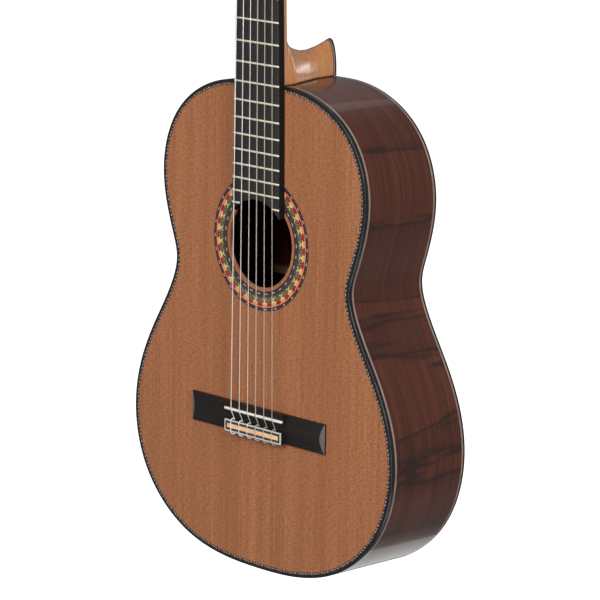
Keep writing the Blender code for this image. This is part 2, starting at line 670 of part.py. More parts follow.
def make_nut(bone):
    """A bar at the end of the fingerboard, with a notch for each string."""
    top = neck_plane(-JOINT_Z) - BOARD_TOP - STRING_RISE - 0.5 * MM
    low, high = -JOINT_Z + GAP, -JOINT_Z + 5 * MM
    base = neck_plane(low) - GAP
    section = [(top + 1.2 * MM, high), (top, low), (base, low), (base, high)]
    rings = [[body(x, y, z) for y, z in section] for x in (-BOARD_HALF_NUT, BOARD_HALF_NUT)]
    nut = loft("nut", rings, bone)
    for number, wide in enumerate(STRING_DIAMETERS):
        half = wide / 2 + 0.2 * MM
        before, at, after = string_route(number)[2:]
        stations = [at + (before - at).normalized() * 2 * MM, at, at + (after - at).normalized() * 9 * MM]
        corners = rectangle(-half, half, half, -4 * MM)
        rings = [[point + Vector((x, y, 0)) for x, y in corners] for point in stations]
        combine(nut, loft(f"notch_cutter_{number}", rings, bone), "DIFFERENCE")


def tube(name, points, radius, finish):
    """A curve through straight runs, with a round section and closed ends."""
    curve = bpy.data.curves.new(name, "CURVE")
    curve.dimensions = "3D"
    curve.bevel_depth = radius
    curve.bevel_resolution = 2
    curve.use_fill_caps = True
    spline = curve.splines.new("POLY")
    spline.points.add(len(points) - 1)
    for target, point in zip(spline.points, points):
        target.co = (*point, 1)
    curve.materials.append(finish)
    made = bpy.data.objects.new(name, curve)
    bpy.context.scene.collection.objects.link(made)
    return made


# Tuning machines

def make_machines(brass, steel, pearl, bone):
    """A plate on each side of the head with three worms, and each worm's gear on its roller."""
    for side, name in ((-1, "bass"), (1, "treble")):
        plate = machine_plate(name, side, brass)
        for order, length in enumerate(ROLLER_L):
            label = f"{name}_{order + 1}"
            add_lugs(plate, label, side, length - WORM_OFFSET, brass)
            make_worm(label, side, length - WORM_OFFSET, steel)
            make_button(label, side, length - WORM_OFFSET, pearl)
            make_gear(label, side, length, brass)
            make_roller(label, side, length, bone)


def machine_plate(name, side, finish):
    inner, outer = HEAD_HALF + GAP, HEAD_HALF + GAP + PLATE
    x = sorted((side * inner, side * outer))
    low, high = (x[0], 38 * MM, 2.5 * MM), (x[1], 136 * MM, 15.5 * MM)
    plate = box(f"tuner_plate_{name}", low, high, finish, place=head)
    through = [(HEAD_HALF, AXLE_BORE), (HEAD_HALF + 3 * MM, AXLE_BORE)]
    for length in ROLLER_L:
        centre = head(0, length, ROLLER_DEPTH)
        combine(plate, turned("plate_hole", centre, Vector((side, 0, 0)), through, finish, 10), "DIFFERENCE")
    return plate


def add_lugs(plate, label, side, length, finish):
    """Two ears folded out of the plate, with the worm's shaft through them."""
    x = sorted((side * (HEAD_HALF + GAP + 0.5 * PLATE), side * (WORM_X + 2.6 * MM)))
    for front, back in LUG_N:
        low, high = (x[0], length - LUG_HALF, front), (x[1], length + LUG_HALF, back)
        combine(plate, box(f"lug_{label}", low, high, finish, place=head), "UNION")
    through = [(LUG_N[0][0] - MM, SHAFT_BORE), (LUG_N[1][1] + MM, SHAFT_BORE)]
    bore = turned(f"lug_bore_{label}", head(side * WORM_X, length, 0), HEAD_BEHIND, through, finish, 10)
    combine(plate, bore, "DIFFERENCE")


def make_worm(label, side, length, finish):
    """A shaft with a right-hand thread of one start, in mesh with its gear's middle gap."""
    centre = head(side * WORM_X, length, 0)
    low, high = LUG_N[0][1] + GAP, LUG_N[1][0] - GAP
    profile = [(LUG_N[0][0] - 0.6 * MM, SHAFT_RADIUS), (low, SHAFT_RADIUS), (low + 0.01 * MM, WORM_ROOT),
               (high - 0.01 * MM, WORM_ROOT), (high, SHAFT_RADIUS), (BUTTON_N[0] + 6 * MM, SHAFT_RADIUS)]
    worm = turned(f"tuner_worm_{label}", centre, HEAD_BEHIND, profile, finish, 8)
    rings = []
    turns, steps = 2.5, 7
    root, crest = 1.8 * MM, WORM_CREST
    section = [(root, -0.48 * MM), (crest, -0.22 * MM), (crest, 0.22 * MM), (root, 0.48 * MM)]
    for step in range(int(turns * steps) + 1):
        angle = 2 * math.pi * (step / steps - turns / 2)
        out = HEAD_ALONG * math.cos(angle) + HEAD_BEHIND.cross(HEAD_ALONG) * math.sin(angle)
        middle = centre + HEAD_BEHIND * (ROLLER_DEPTH + WORM_PITCH * angle / (2 * math.pi))
        rings.append([middle + out * radius + HEAD_BEHIND * rise for radius, rise in section])
    pivot = centre + HEAD_BEHIND * ROLLER_DEPTH
    combine(worm, pivot_at(loft(f"thread_{label}", rings, finish), pivot), "UNION")
    pivot_at(worm, pivot)


def make_button(label, side, length, finish):
    """An oval grip, bored for the end of the worm's shaft."""
    centre = head(side * WORM_X, length, 0)
    thick, wide = BUTTON_HALVES
    angles = [2 * math.pi * step / 12 for step in range(12)]
    start, stop = BUTTON_N
    rings = []
    for t, size in ((0, 0.42), (0.12, 0.75), (0.4, 1), (0.75, 0.95), (0.93, 0.7), (1, 0.4)):
        at = centre + HEAD_BEHIND * (start + (stop - start) * t)
        across, along = Vector((thick * size, 0, 0)), HEAD_ALONG * wide * size
        rings.append([at + across * math.cos(a) + along * math.sin(a) for a in angles])
    button = loft(f"tuner_button_{label}", rings, finish)
    hollow = [(start - MM, SHAFT_BORE), (start + 7 * MM, SHAFT_BORE)]
    combine(button, turned("button_bore", centre, HEAD_BEHIND, hollow, finish, 8), "DIFFERENCE")
    pivot_at(button, centre + HEAD_BEHIND * ROLLER_DEPTH)


def make_gear(label, side, length, finish):
    """A spur wheel with a gap between two teeth towards its worm."""
    centre = head(0, length, ROLLER_DEPTH)
    step = 2 * math.pi / GEAR_TEETH
    edge = []
    for tooth in range(GEAR_TEETH):
        middle = math.pi + (tooth + 0.5) * step
        for radius, half in ((4.3, 0.62), (5.5, 0.24), (5.5, -0.24), (4.3, -0.62)):
            angle = middle - half / radius
            edge.append((HEAD_ALONG * math.cos(angle) + HEAD_BEHIND * math.sin(angle)) * radius * MM)
    rings = [[centre + Vector((side * x, 0, 0)) + point for point in edge] for x in GEAR_X]
    gear = loft(f"tuner_gear_{label}", rings, finish)
    through = [(GEAR_X[0] - MM, AXLE_TIP_BORE), (GEAR_X[1] + MM, AXLE_TIP_BORE)]
    combine(gear, turned("gear_bore", centre, Vector((side, 0, 0)), through, finish, 8), "DIFFERENCE")
    pivot_at(gear, centre)


def make_roller(label, side, length, finish):
    """A sleeve in the slot, a pin in the middle of the head and an axle out to the gear."""
    low, high = SLOT_X[0] + 0.6 * MM, SLOT_X[1] - 0.6 * MM
    step, shoulder, end = 0.01 * MM, GEAR_X[0] - 0.4 * MM, GEAR_X[1] + 0.4 * MM
    profile = [
        (3.9 * MM, AXLE_RADIUS),
        (low, AXLE_RADIUS),
        (low + step, ROLLER_RADIUS),
        (high - step, ROLLER_RADIUS),
        (high, AXLE_RADIUS),
        (shoulder, AXLE_RADIUS),
        (shoulder + step, AXLE_TIP_RADIUS),
        (end, AXLE_TIP_RADIUS),
    ]
    centre = head(0, length, ROLLER_DEPTH)
    pivot_at(turned(f"tuner_roller_{label}", centre, Vector((side, 0, 0)), profile, finish, 12), centre)


def main():
    for existing in list(bpy.data.objects):
        bpy.data.objects.remove(existing, do_unlink=True)
    cedar_top = material("cedar_top", (0.39, 0.15, 0.065), 0.3)
    mosaic = material("mosaic", (0.35, 0.13, 0.08), 0.35)
    rosewood = material("rosewood", (0.075, 0.038, 0.032), 0.15)
    binding = material("binding", (0.025, 0.018, 0.018), 0.2)
    cedar = material("cedar", (0.56, 0.31, 0.16), 0.2)
    spruce = material("spruce", (0.68, 0.5, 0.3), 0.6)
    ebony = material("ebony", (0.03, 0.03, 0.028), 0.4)
    veneer = material("veneer", (0.6, 0.45, 0.3), 0.4)
    bone = material("bone", (0.8, 0.75, 0.64), 0.35)
    nickel = material("nickel", (0.6, 0.57, 0.45), 0.25, 1.0)
    inlay = material("tie_inlay", (0.6, 0.4, 0.25), 0.35)
    silver = material("wound_string", (0.75, 0.75, 0.75), 0.3, 1.0)
    nylon = material("nylon", (0.8, 0.8, 0.8), 0.2)
    brass = material("machine_brass", (0.75, 0.55, 0.25), 0.3, 1.0)
    pearl = material("pearl", (0.85, 0.83, 0.78), 0.2)
    rosette = make_soundboard(cedar_top)
    rosette.data.materials[0] = mosaic
    make_ribs(rosewood, binding, mosaic, spruce)
    make_back(rosewood, binding)
    make_bracing(spruce)
    make_neck(cedar, ebony, veneer)
    make_board(ebony, nickel)
    make_nut(bone)
    make_bridge(rosewood, bone, inlay)
    make_strings(silver, nylon)
    make_machines(brass, nickel, pearl, bone)


main()
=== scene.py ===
"""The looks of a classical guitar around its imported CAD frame.

Metres, +Z up the neck, -Y out of the soundboard.
"""

from math import asin, copysign, cos, hypot, pi, radians, sin, sqrt

import bmesh
import bpy
import numpy as np
from mathutils import Matrix, Vector


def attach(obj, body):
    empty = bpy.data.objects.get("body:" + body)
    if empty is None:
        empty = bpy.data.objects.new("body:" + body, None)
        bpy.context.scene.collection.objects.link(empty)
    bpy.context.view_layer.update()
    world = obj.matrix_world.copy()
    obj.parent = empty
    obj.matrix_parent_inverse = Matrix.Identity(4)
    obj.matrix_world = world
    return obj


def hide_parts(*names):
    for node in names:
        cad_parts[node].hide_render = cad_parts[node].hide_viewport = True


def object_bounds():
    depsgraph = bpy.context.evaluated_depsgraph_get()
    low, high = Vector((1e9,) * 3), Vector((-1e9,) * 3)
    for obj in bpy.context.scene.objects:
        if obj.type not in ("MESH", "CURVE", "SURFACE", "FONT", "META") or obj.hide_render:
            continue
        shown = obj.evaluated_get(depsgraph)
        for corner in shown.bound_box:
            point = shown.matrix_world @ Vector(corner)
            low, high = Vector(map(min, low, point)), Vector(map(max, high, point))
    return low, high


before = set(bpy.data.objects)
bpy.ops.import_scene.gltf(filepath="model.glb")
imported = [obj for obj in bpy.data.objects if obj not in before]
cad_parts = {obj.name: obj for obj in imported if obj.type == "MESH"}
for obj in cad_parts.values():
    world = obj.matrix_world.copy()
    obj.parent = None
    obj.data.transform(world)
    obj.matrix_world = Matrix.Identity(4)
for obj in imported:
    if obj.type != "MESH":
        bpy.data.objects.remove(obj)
CAD_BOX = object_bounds()
MM = 0.001


def mm(*sizes):
    return [size * MM for size in sizes]


# The same driving sizes as the CAD
JOINT_Z = -325 * MM
SADDLE_Z = -329.3 * MM
FORWARD_SET = 3.5 * MM
SCALE_LENGTH = 650 * MM
FRET_COUNT = 20
BOARD_TOP = 7.3 * MM
BOARD_HALF_NUT, BOARD_HALF_JOINT = mm(26.5, 31.8)
STRING_DIAMETERS = mm(1.09, 0.89, 0.74, 1.02, 0.82, 0.71)
STRINGS_A_SIDE = 3
NUT_SPACING, SADDLE_SPACING = mm(45, 59.5)
STRING_RISE = 2.1 * MM
OUTLINE = [
    (0, 0), (45, -1), (109, -26), (128, -46), (145, -100), (130, -167), (124.3, -188), (131, -215),
    (157, -261), (180, -310), (187, -350), (170.5, -416), (108, -471), (60, -484.5), (0, -488),
]
TOP, RIB, BACK = mm(2.5, 3.0, 2.6)
BACK_PEAK = mm(104, -310)
BACK_ARCH_ALONG, BACK_ARCH_ACROSS = 3.85, 5.0
BINDING, BINDING_DEPTH = mm(3.0, 4.3)
PURFLING_INNER = 5.7 * MM
BACK_BINDING, BACK_BINDING_DEPTH = mm(2.5, 3.0)
SIDE_LINE, BACK_SIDE_LINE = mm(2.3, 2.0)
HOLE_Z, HOLE_RADIUS = mm(-157.3, 44.8)
BOARD_END_Z, BOARD_END_RADIUS = mm(-129, 43.2)
INSIDE = 0.03 * MM  # keeps the finer curves here within the CAD's straight-sided ones
NECK_CORE_HALF = 9.3 * MM
GRAFT_HALF = 6 * MM
BACK_STRIP_HALF = 2 * MM
HEEL_DEPTH = 86.6 * MM
CAP_DEPTH = mm(87.7, 90.3)
BRIDGE_Z = mm(-322.3, -352.3)
BRIDGE_HALF = 96.2 * MM
SADDLE_BLOCK_HALF, TIE_BLOCK_HALF = mm(42.8, 40.8)
WING_FOOT, WING_SLOPE = 1.9 * MM, 2.5
WING_EDGE, WING_CREST = mm(2.0, 4.0)
SADDLE_BLOCK, TIE_BLOCK = mm(-334.3, 7.0), mm(-340.3, 7.5)
INLAY_THICKNESS = 1.2 * MM
SADDLE_TOP, SADDLE_THICKNESS, SADDLE_HALF = mm(9.4, 2.5, 41.7)
SADDLE_SLOT_HALF, SADDLE_FLOOR = mm(42, -3.5)
TIE_HOLE_Y = -4.6 * MM
HEAD_TILT = radians(15)
HEAD_START = Vector(mm(0, -5.4, 5.6))
HEAD_BACK, HEAD_HALF, VENEER = mm(18, 36, 1.8)
SLOT_X, SLOT_L = mm(8, 24), mm(22, 144)
ROLLER_L = mm(52, 87, 122)
ROLLER_DEPTH, ROLLER_RADIUS = mm(9, 5)
GEAR_X = mm(40, 42.6)
WORM_X, WORM_OFFSET = mm(41.3, 7.75)
BUTTON_N = mm(21, 37)
PLATE_SCREWS = mm(40, 67, 102, 134)

# The camera and its place: how far round, how high, how far from what it looks at
CAMERA_TARGET = Vector(mm(57, 0, -530.5))
CAMERA_AZIMUTH, CAMERA_ELEVATION, CAMERA_ROLL = 46.49, 11.815, 0.76
CAMERA_DISTANCE = 3.2117
CAMERA_LENS = 199.1


# Frames of reference

def body(x, y, z):
    """A point from its distances to the joint of neck and body."""
    return Vector((x, y, JOINT_Z + z))


def head(x, length, depth):
    """A point across the head, along it from the nut, and behind its front face."""
    along = Vector((0, sin(HEAD_TILT), cos(HEAD_TILT)))
    behind = Vector((0, cos(HEAD_TILT), -sin(HEAD_TILT)))
    return HEAD_START + Vector((x, 0, 0)) + along * length + behind * depth


HEAD_ALONG = head(0, 1, 0) - head(0, 0, 0)
HEAD_BEHIND = head(0, 0, 1) - head(0, 0, 0)


def neck_plane(z):
    return -FORWARD_SET * max(0.0, z) / -JOINT_Z


def back_depth(x, z):
    fall = (z - BACK_PEAK[1]) ** 2 / (2 * BACK_ARCH_ALONG)
    return BACK_PEAK[0] - INSIDE - fall - x * x / (2 * BACK_ARCH_ACROSS)


def board_half(z):
    return BOARD_HALF_JOINT + (BOARD_HALF_NUT - BOARD_HALF_JOINT) * z / -JOINT_Z


def fret_z(number):
    return -JOINT_Z - SCALE_LENGTH * (1 - 2 ** (-number / 12))


def clamped_spline(values, knots, at, ends):
    """A cubic spline through the values, with the given slopes at its ends."""
    steps = np.diff(knots)
    slopes = np.diff(values) / steps
    count = len(values)
    matrix, right = np.zeros((count, count)), np.zeros(count)
    matrix[0, :2] = 2 * steps[0], steps[0]
    right[0] = 6 * (slopes[0] - ends[0])
    matrix[-1, -2:] = steps[-1], 2 * steps[-1]
    right[-1] = 6 * (ends[1] - slopes[-1])
    for i in range(1, count - 1):
        matrix[i, i - 1 : i + 2] = steps[i - 1], 2 * (steps[i - 1] + steps[i]), steps[i]
        right[i] = 6 * (slopes[i] - slopes[i - 1])
    bends = np.linalg.solve(matrix, right)
    span = np.clip(np.searchsorted(knots, at, side="right") - 1, 0, count - 2)
    step, t = steps[span], at - knots[span]
    rise = slopes[span] - step * (2 * bends[span] + bends[span + 1]) / 6
    change = (bends[span + 1] - bends[span]) / (6 * step)
    return values[span] + rise * t + bends[span] / 2 * t**2 + change * t**3


def make_outline():
    corners = np.array(OUTLINE) * MM
    knots = np.concatenate([[0], np.cumsum(np.hypot(*np.diff(corners, axis=0).T))])
    fine = np.linspace(0, knots[-1], 2000)
    x = clamped_spline(corners[:, 0], knots, fine, (1, -1))
    z = clamped_spline(corners[:, 1], knots, fine, (0, 0))
    length = np.concatenate([[0], np.cumsum(np.hypot(np.diff(x), np.diff(z)))])
    return length / length[-1], x, z, np.gradient(x), np.gradient(z), length[-1]


OUTLINE_CURVE = make_outline()
HALF_RIM = OUTLINE_CURVE[5]


def rim(u, inset):
    """A point (x, z) of the outline, moved inwards. u is 0 at the neck, 1 at the tail and 2 at the neck."""
    length, xs, zs, dxs, dzs, _ = OUTLINE_CURVE
    t = u if u <= 1 else 2 - u
    x, z = np.interp(t, length, xs), np.interp(t, length, zs)
    dx, dz = np.interp(t, length, dxs), np.interp(t, length, dzs)
    size = hypot(dx, dz)
    inset += INSIDE
    x, z = x + inset * dz / size, z - inset * dx / size
    return (x if u <= 1 else -x), z


def rim_at(x, tail=False):
    """How far round the rim the outline is at x, on the treble side, near the neck or the tail."""
    length, xs = OUTLINE_CURVE[:2]
    if tail:
        return float(np.interp(-x, -xs[-200:], length[-200:]))
    return float(np.interp(x, xs[:300], length[:300]))


# Meshes

def place(name, data):
    """An object in the scene that holds the data."""
    made = bpy.data.objects.new(name, data)
    bpy.context.scene.collection.objects.link(made)
    return made


def solid(name, points, faces, finish, sharp=35, uvs=None, slots=None):
    """A closed mesh, smooth but for its sharp edges. uvs and slots hold each face's UVs and finish number."""
    mesh = bpy.data.meshes.new(name)
    mesh.from_pydata([tuple(point) for point in points], [], faces)
    if uvs:
        layer = mesh.uv_layers.new(name="Grain")
        for polygon, corners in zip(mesh.polygons, uvs):
            for loop, corner in zip(polygon.loop_indices, corners):
                layer.data[loop].uv = corner
    for made in finish if isinstance(finish, list) else [finish]:
        mesh.materials.append(made)
    if slots:
        mesh.polygons.foreach_set("material_index", slots)
    work = bmesh.new()
    work.from_mesh(mesh)
    bmesh.ops.recalc_face_normals(work, faces=work.faces)
    work.to_mesh(mesh)
    work.free()
    mesh.shade_smooth()
    mesh.set_sharp_from_angle(angle=radians(sharp))
    return place(name, mesh)


def loft(name, rings, finish, closed=False, sharp=35, grain=None):
    """Joins rings of equally many points. grain gives each point (row, column) its UV."""
    count = len(rings[0])
    points = [point for ring in rings for point in ring]
    faces, uvs = [], []
    for row in range(len(rings) if closed else len(rings) - 1):
        here, there = row * count, (row + 1) % len(rings) * count
        for column in range(count):
            after = (column + 1) % count
            faces.append((here + column, here + after, there + after, there + column))
            if grain:
                uvs.append((grain(row, column), grain(row, after),
                            grain(row + 1, after), grain(row + 1, column)))
    if not closed:
        for first in (0, len(points) - count):
            faces.append(tuple(range(first, first + count)))
            if grain:
                uvs.append([grain(first // count, column) for column in range(count)])
    return solid(name, points, faces, finish, sharp, uvs if grain else None)


def box(name, low, high, finish):
    corners = [(low[1], low[2]), (high[1], low[2]), (high[1], high[2]), (low[1], high[2])]
    return loft(name, [[body(x, y, z) for y, z in corners] for x in (low[0], high[0])], finish)


def angles(count):
    """Angles in equal steps round a circle."""
    return [2 * pi * step / count for step in range(count)]


def half_turn(steps):
    """Angles in equal steps from 0 through pi."""
    return [pi * step / steps for step in range(steps + 1)]


def turned(name, centre, axis, profile, finish, sides=32, sharp=35):
    """A round solid on an axis, from (distance along it, radius) pairs."""
    axis = axis.normalized()
    across = axis.orthogonal().normalized()
    up = axis.cross(across)
    rings = [[centre + axis * at + (across * cos(a) + up * sin(a)) * radius for a in angles(sides)]
             for at, radius in profile]
    return loft(name, rings, finish, sharp=sharp)


def apply_modifiers(made):
    """Fixes the modifiers' result in the mesh."""
    graph = bpy.context.evaluated_depsgraph_get()
    mesh = bpy.data.meshes.new_from_object(made.evaluated_get(graph))
    made.modifiers.clear()
    made.data = mesh


def combine(target, other, operation="DIFFERENCE"):
    modifier = target.modifiers.new("join", "BOOLEAN")
    modifier.operation = operation
    modifier.solver = "EXACT"
    modifier.object = other
    apply_modifiers(target)
    bpy.data.objects.remove(other, do_unlink=True)


def round_edges(made, width, segments=3, angle=40):
    bevel = made.modifiers.new("edges", "BEVEL")
    bevel.width = width
    bevel.segments = segments
    bevel.limit_method = "ANGLE"
    bevel.angle_limit = radians(angle)
    bevel.harden_normals = True
    apply_modifiers(made)
    return made


def paint_faces(made, finish, chosen):
    """Gives the chosen faces a second finish: a lighter or darker copy of the first, which paints a highlight
    or shade on them.
    """
    made.data.materials.append(finish)
    for face in made.data.polygons:
        if chosen(face):
            face.material_index = 1


def tube(name, routes, radius, finish):
    """A round rod along one or more lists of points."""
    curve = bpy.data.curves.new(name, "CURVE")
    curve.dimensions = "3D"
    curve.bevel_depth = radius
    curve.bevel_resolution = 3
    curve.use_fill_caps = True
    for points in routes:
        spline = curve.splines.new("POLY")
        spline.points.add(len(points) - 1)
        for target, point in zip(spline.points, points):
            target.co = (*point, 1)
        spline.use_smooth = True
    curve.materials.append(finish)
    return place(name, curve)


def smooth_route(points, steps=10):
    """A curve through the points, by Catmull and Rom's rule."""
    ends = [points[0] * 2 - points[1]] + list(points) + [points[-1] * 2 - points[-2]]
    route = []
    for a, b, c, d in zip(ends, ends[1:], ends[2:], ends[3:]):
        for step in range(steps):
            t = step / steps
            square, cube = a * 2 - b * 5 + c * 4 - d, b * 3 - a - c * 3 + d
            route.append(((b * 2) + (c - a) * t + square * t**2 + cube * t**3) / 2)
    return route + [points[-1]]


def settle(made, slot, *nodes, rides="guitar"):
    """Puts a piece on its body and hides the CAD nodes that it stands for. The slot is not used."""
    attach(made, rides)
    if nodes:
        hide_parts(*nodes)
    return made


# Materials

def linear(red, green, blue):
    """A colour given in everyday 0 to 255 values."""
    def one(value):
        value /= 255
        return value / 12.92 if value <= 0.04045 else ((value + 0.055) / 1.055) ** 2.4
    return (one(red), one(green), one(blue), 1)


class Paint:
    """A Principled material with short ways to add procedural detail."""

    def __init__(self, name, roughness, metallic=0.0, coat=0.0, coat_roughness=0.05, specular=0.5):
        self.material = bpy.data.materials.new(name)
        self.material.use_nodes = True
        self.tree = self.material.node_tree
        self.shader = self.tree.nodes["Principled BSDF"]
        values = {"Roughness": roughness, "Metallic": metallic, "Coat Weight": coat,
                  "Coat Roughness": coat_roughness, "Specular IOR Level": specular}
        for socket, value in values.items():
            self.set(socket, value)

    def set(self, socket, value):
        self.feed(self.shader.inputs[socket], value)

    def feed(self, socket, value):
        """Links another node's output to the socket, or sets the socket's own value."""
        if isinstance(value, bpy.types.NodeSocket):
            self.tree.links.new(value, socket)
        else:
            socket.default_value = value

    def node(self, kind, inputs, **settings):
        made = self.tree.nodes.new(kind)
        for key, value in settings.items():
            setattr(made, key, value)
        for socket, value in inputs.items():
            self.feed(made.inputs[socket], value)
        return made

    def where(self, scale, source="Object"):
        """Coordinates stretched by the scale, per metre."""
        if source == "Grain":
            start = self.node("ShaderNodeUVMap", {}, uv_map="Grain").outputs["UV"]
        else:
            start = self.node("ShaderNodeTexCoord", {}).outputs["Object"]
        return self.node("ShaderNodeMapping", {"Scale": scale, "Vector": start}).outputs["Vector"]

    def noise(self, scale, detail=3, roughness=0.5, distortion=0.0, source="Object"):
        inputs = {"Scale": 1, "Detail": detail, "Roughness": roughness, "Distortion": distortion}
        inputs["Vector"] = self.where(scale, source)
        return self.node("ShaderNodeTexNoise", inputs).outputs["Fac"]

    def ramp(self, value, stops):
        made = self.node("ShaderNodeValToRGB", {"Fac": value})
        while len(made.color_ramp.elements) < len(stops):
            made.color_ramp.elements.new(0.5)
        for element, (at, colour) in zip(made.color_ramp.elements, stops):
            element.position = at
            element.color = colour
        return made.outputs["Color"]

    def mix(self, share, first, second):
        made = self.node("ShaderNodeMix", {}, data_type="RGBA")
        for name, value in (("Factor", share), ("A", first), ("B", second)):
            self.feed([s for s in made.inputs if s.name == name and s.enabled][0], value)
        return [s for s in made.outputs if s.enabled][0]

    def colour(self, value, stops=None):
        """The base colour: another node's colour, or a value's place on a ramp of stops."""
        self.set("Base Color", self.ramp(value, stops) if stops else value)

    def spread(self, value, low, high):
        """Lets a texture move the roughness between two values."""
        made = self.node("ShaderNodeMapRange", {"To Min": low, "To Max": high, "Value": value})
        self.set("Roughness", made.outputs["Result"])

    def bump(self, height, distance, strength=1.0):
        inputs = {"Strength": strength, "Distance": distance, "Height": height}
        self.set("Normal", self.node("ShaderNodeBump", inputs).outputs["Normal"])


def grey(share):
    return (share,) * 3 + (1,)


def wood(name, tones, fine, broad, roughness, coat=0.0, bump=0.00004, source="Object", streaks=None,
         specular=0.5, flecks=None, bands=None, coat_roughness=0.05):
    """Wood from three tones: fine grain lines within broad bands, both stretched along the grain.

    Streaks, flecks and bands are each a scale, a tint and how much of the tint they take.
    """
    paint = Paint(name, roughness[0], coat=coat, coat_roughness=coat_roughness, specular=specular)
    dark, middle, light = (linear(*tone) for tone in tones)
    grain = paint.noise(fine, detail=4, roughness=0.55, source=source)
    wide = paint.noise(broad, detail=2, roughness=0.5, distortion=0.3, source=source)
    lines = paint.ramp(grain, [(0.3, dark), (0.5, middle), (0.72, light)])
    zones = paint.ramp(wide, [(0.3, dark), (0.55, middle), (0.75, light)])
    colour = paint.mix(0.45, lines, zones)
    if streaks:
        scale, tint, share = streaks
        marks = paint.noise(scale, detail=2, source=source)
        colour = paint.mix(paint.ramp(marks, [(0.56, grey(0)), (0.66, grey(share))]), colour, linear(*tint))
    if flecks:
        scale, tint, share = flecks
        marks = paint.noise(scale, detail=3, roughness=0.7, source=source)
        colour = paint.mix(paint.ramp(marks, [(0.42, grey(0)), (0.62, grey(share))]), colour, linear(*tint))
    # Dark wavy marks across the grain; on the ribs they are painted reflections, wobbling as on a wavy lacquer.
    if bands:
        scale, tint, share = bands
        wave = paint.noise(scale, detail=5, roughness=0.55, distortion=0.3, source=source)
        stops = [(0.4, grey(0)), (0.5, grey(share * 0.35)), (0.515, grey(share)), (0.53, grey(0))]
        colour = paint.mix(paint.ramp(wave, stops), colour, linear(*tint))
    paint.colour(colour)
    paint.spread(grain, *roughness)
    paint.bump(grain, bump)
    return paint.material


def make_woods():
    made = {}
    made["cedar_top"] = wood(
        "cedar_top_lacquered", [(146, 90, 55), (175, 114, 76), (194, 132, 93)],
        (820, 60, 7), (40, 20, 1.2), (0.42, 0.5), coat=0.06, bump=0.00002, specular=0.3,
        streaks=((260, 10, 0.4), (132, 78, 48), 0.28), flecks=((230, 60, 700), (118, 70, 44), 0.62))
    rosewood = [(56, 21, 11), (85, 39, 21), (106, 55, 33)]
    # The ribs' dark wavy bands are a painted reflection: the lacquer's reflections wobbling on a wavy surface.
    made["rosewood_ribs"] = wood(
        "rosewood_ribs", rosewood, (10, 420, 1), (2.4, 60, 1), (0.3, 0.38), coat=0.45, bump=0.00001,
        source="Grain", streaks=((5, 220, 1), (34, 16, 11), 0.45), bands=((9, 1.1, 1), (24, 9, 6), 0.8))
    made["rosewood_back"] = wood(
        "rosewood_back", rosewood, (420, 30, 10), (90, 10, 2.2), (0.34, 0.42), coat=0.3, bump=0.00001,
        streaks=((220, 10, 5), (34, 16, 11), 0.7), bands=((3, 3, 16), (28, 12, 9), 0.4))
    made["bridge_wood"] = wood(
        "bridge_rosewood", [(20, 16, 15), (29, 24, 22), (40, 32, 28)],
        (14, 500, 500), (4, 120, 120), (0.4, 0.5), bump=0.00003, specular=0.3)
    # A lighter grey copy of the bridge wood: a painted highlight on the wings' end facets, where they face the
    # light.
    made["bridge_facet"] = wood(
        "bridge_painted_highlight", [(84, 76, 75), (98, 90, 88), (110, 102, 100)],
        (500, 200, 200), (60, 60, 60), (0.35, 0.45), bump=0.00003)
    # Lit and shaded copies of the ebony: the darker one is painted shade on the fingerboard's sides, the
    # lighter one goes on its front.
    made["ebony_side"] = wood(
        "fingerboard_side_painted_shade", [(11, 10, 8), (17, 15, 12), (24, 21, 17)],
        (900, 400, 14), (200, 60, 3), (0.55, 0.65), bump=0.00003, specular=0.2)
    made["ebony"] = wood(
        "fingerboard_wood", [(32, 30, 29), (46, 44, 42), (58, 56, 53)],
        (900, 400, 14), (200, 60, 3), (0.5, 0.62), bump=0.00003, specular=0.3)
    made["neck_cedar"] = wood(
        "neck_lacquered", [(184, 112, 62), (208, 138, 82), (224, 160, 104)],
        (500, 420, 9), (110, 90, 2.2), (0.32, 0.4), coat=0.8, bump=0.00001, coat_roughness=0.13)
    made["binding"] = wood(
        "binding_dark", [(14, 11, 11), (22, 18, 18), (30, 25, 24)],
        (300, 300, 60), (60, 60, 12), (0.3, 0.4), coat=0.25, bump=0.00001)
    made["spruce"] = wood(
        "bracing_spruce", [(82, 62, 39), (100, 77, 51), (114, 90, 60)],
        (300, 700, 300), (60, 80, 60), (0.6, 0.7), bump=0.00003)
    made["maple_line"] = wood(
        "maple_line", [(130, 110, 98), (150, 128, 115), (168, 146, 132)],
        (80, 80, 80), (20, 20, 20), (0.3, 0.4), coat=0.8, bump=0.00001)
    made["tie_panel"] = wood(
        "tie_panel_wood", [(232, 178, 134), (244, 196, 154), (250, 210, 172)],
        (60, 900, 900), (20, 90, 90), (0.4, 0.5), bump=0.00002)
    return made


def speckled(name, tone, spread, roughness, metallic=0.0, scale=(300, 300, 300)):
    """A plain finish with small changes of tone and shine."""
    paint = Paint(name, roughness, metallic=metallic)
    cloud = paint.noise(scale, detail=4)
    tone = linear(*tone)
    darker = tuple(value * (1 - spread) for value in tone[:3]) + (1,)
    paint.colour(cloud, [(0.3, darker), (0.7, tone)])
    paint.spread(cloud, roughness * 0.85, roughness * 1.2)
    paint.bump(cloud, 0.00001)
    return paint.material


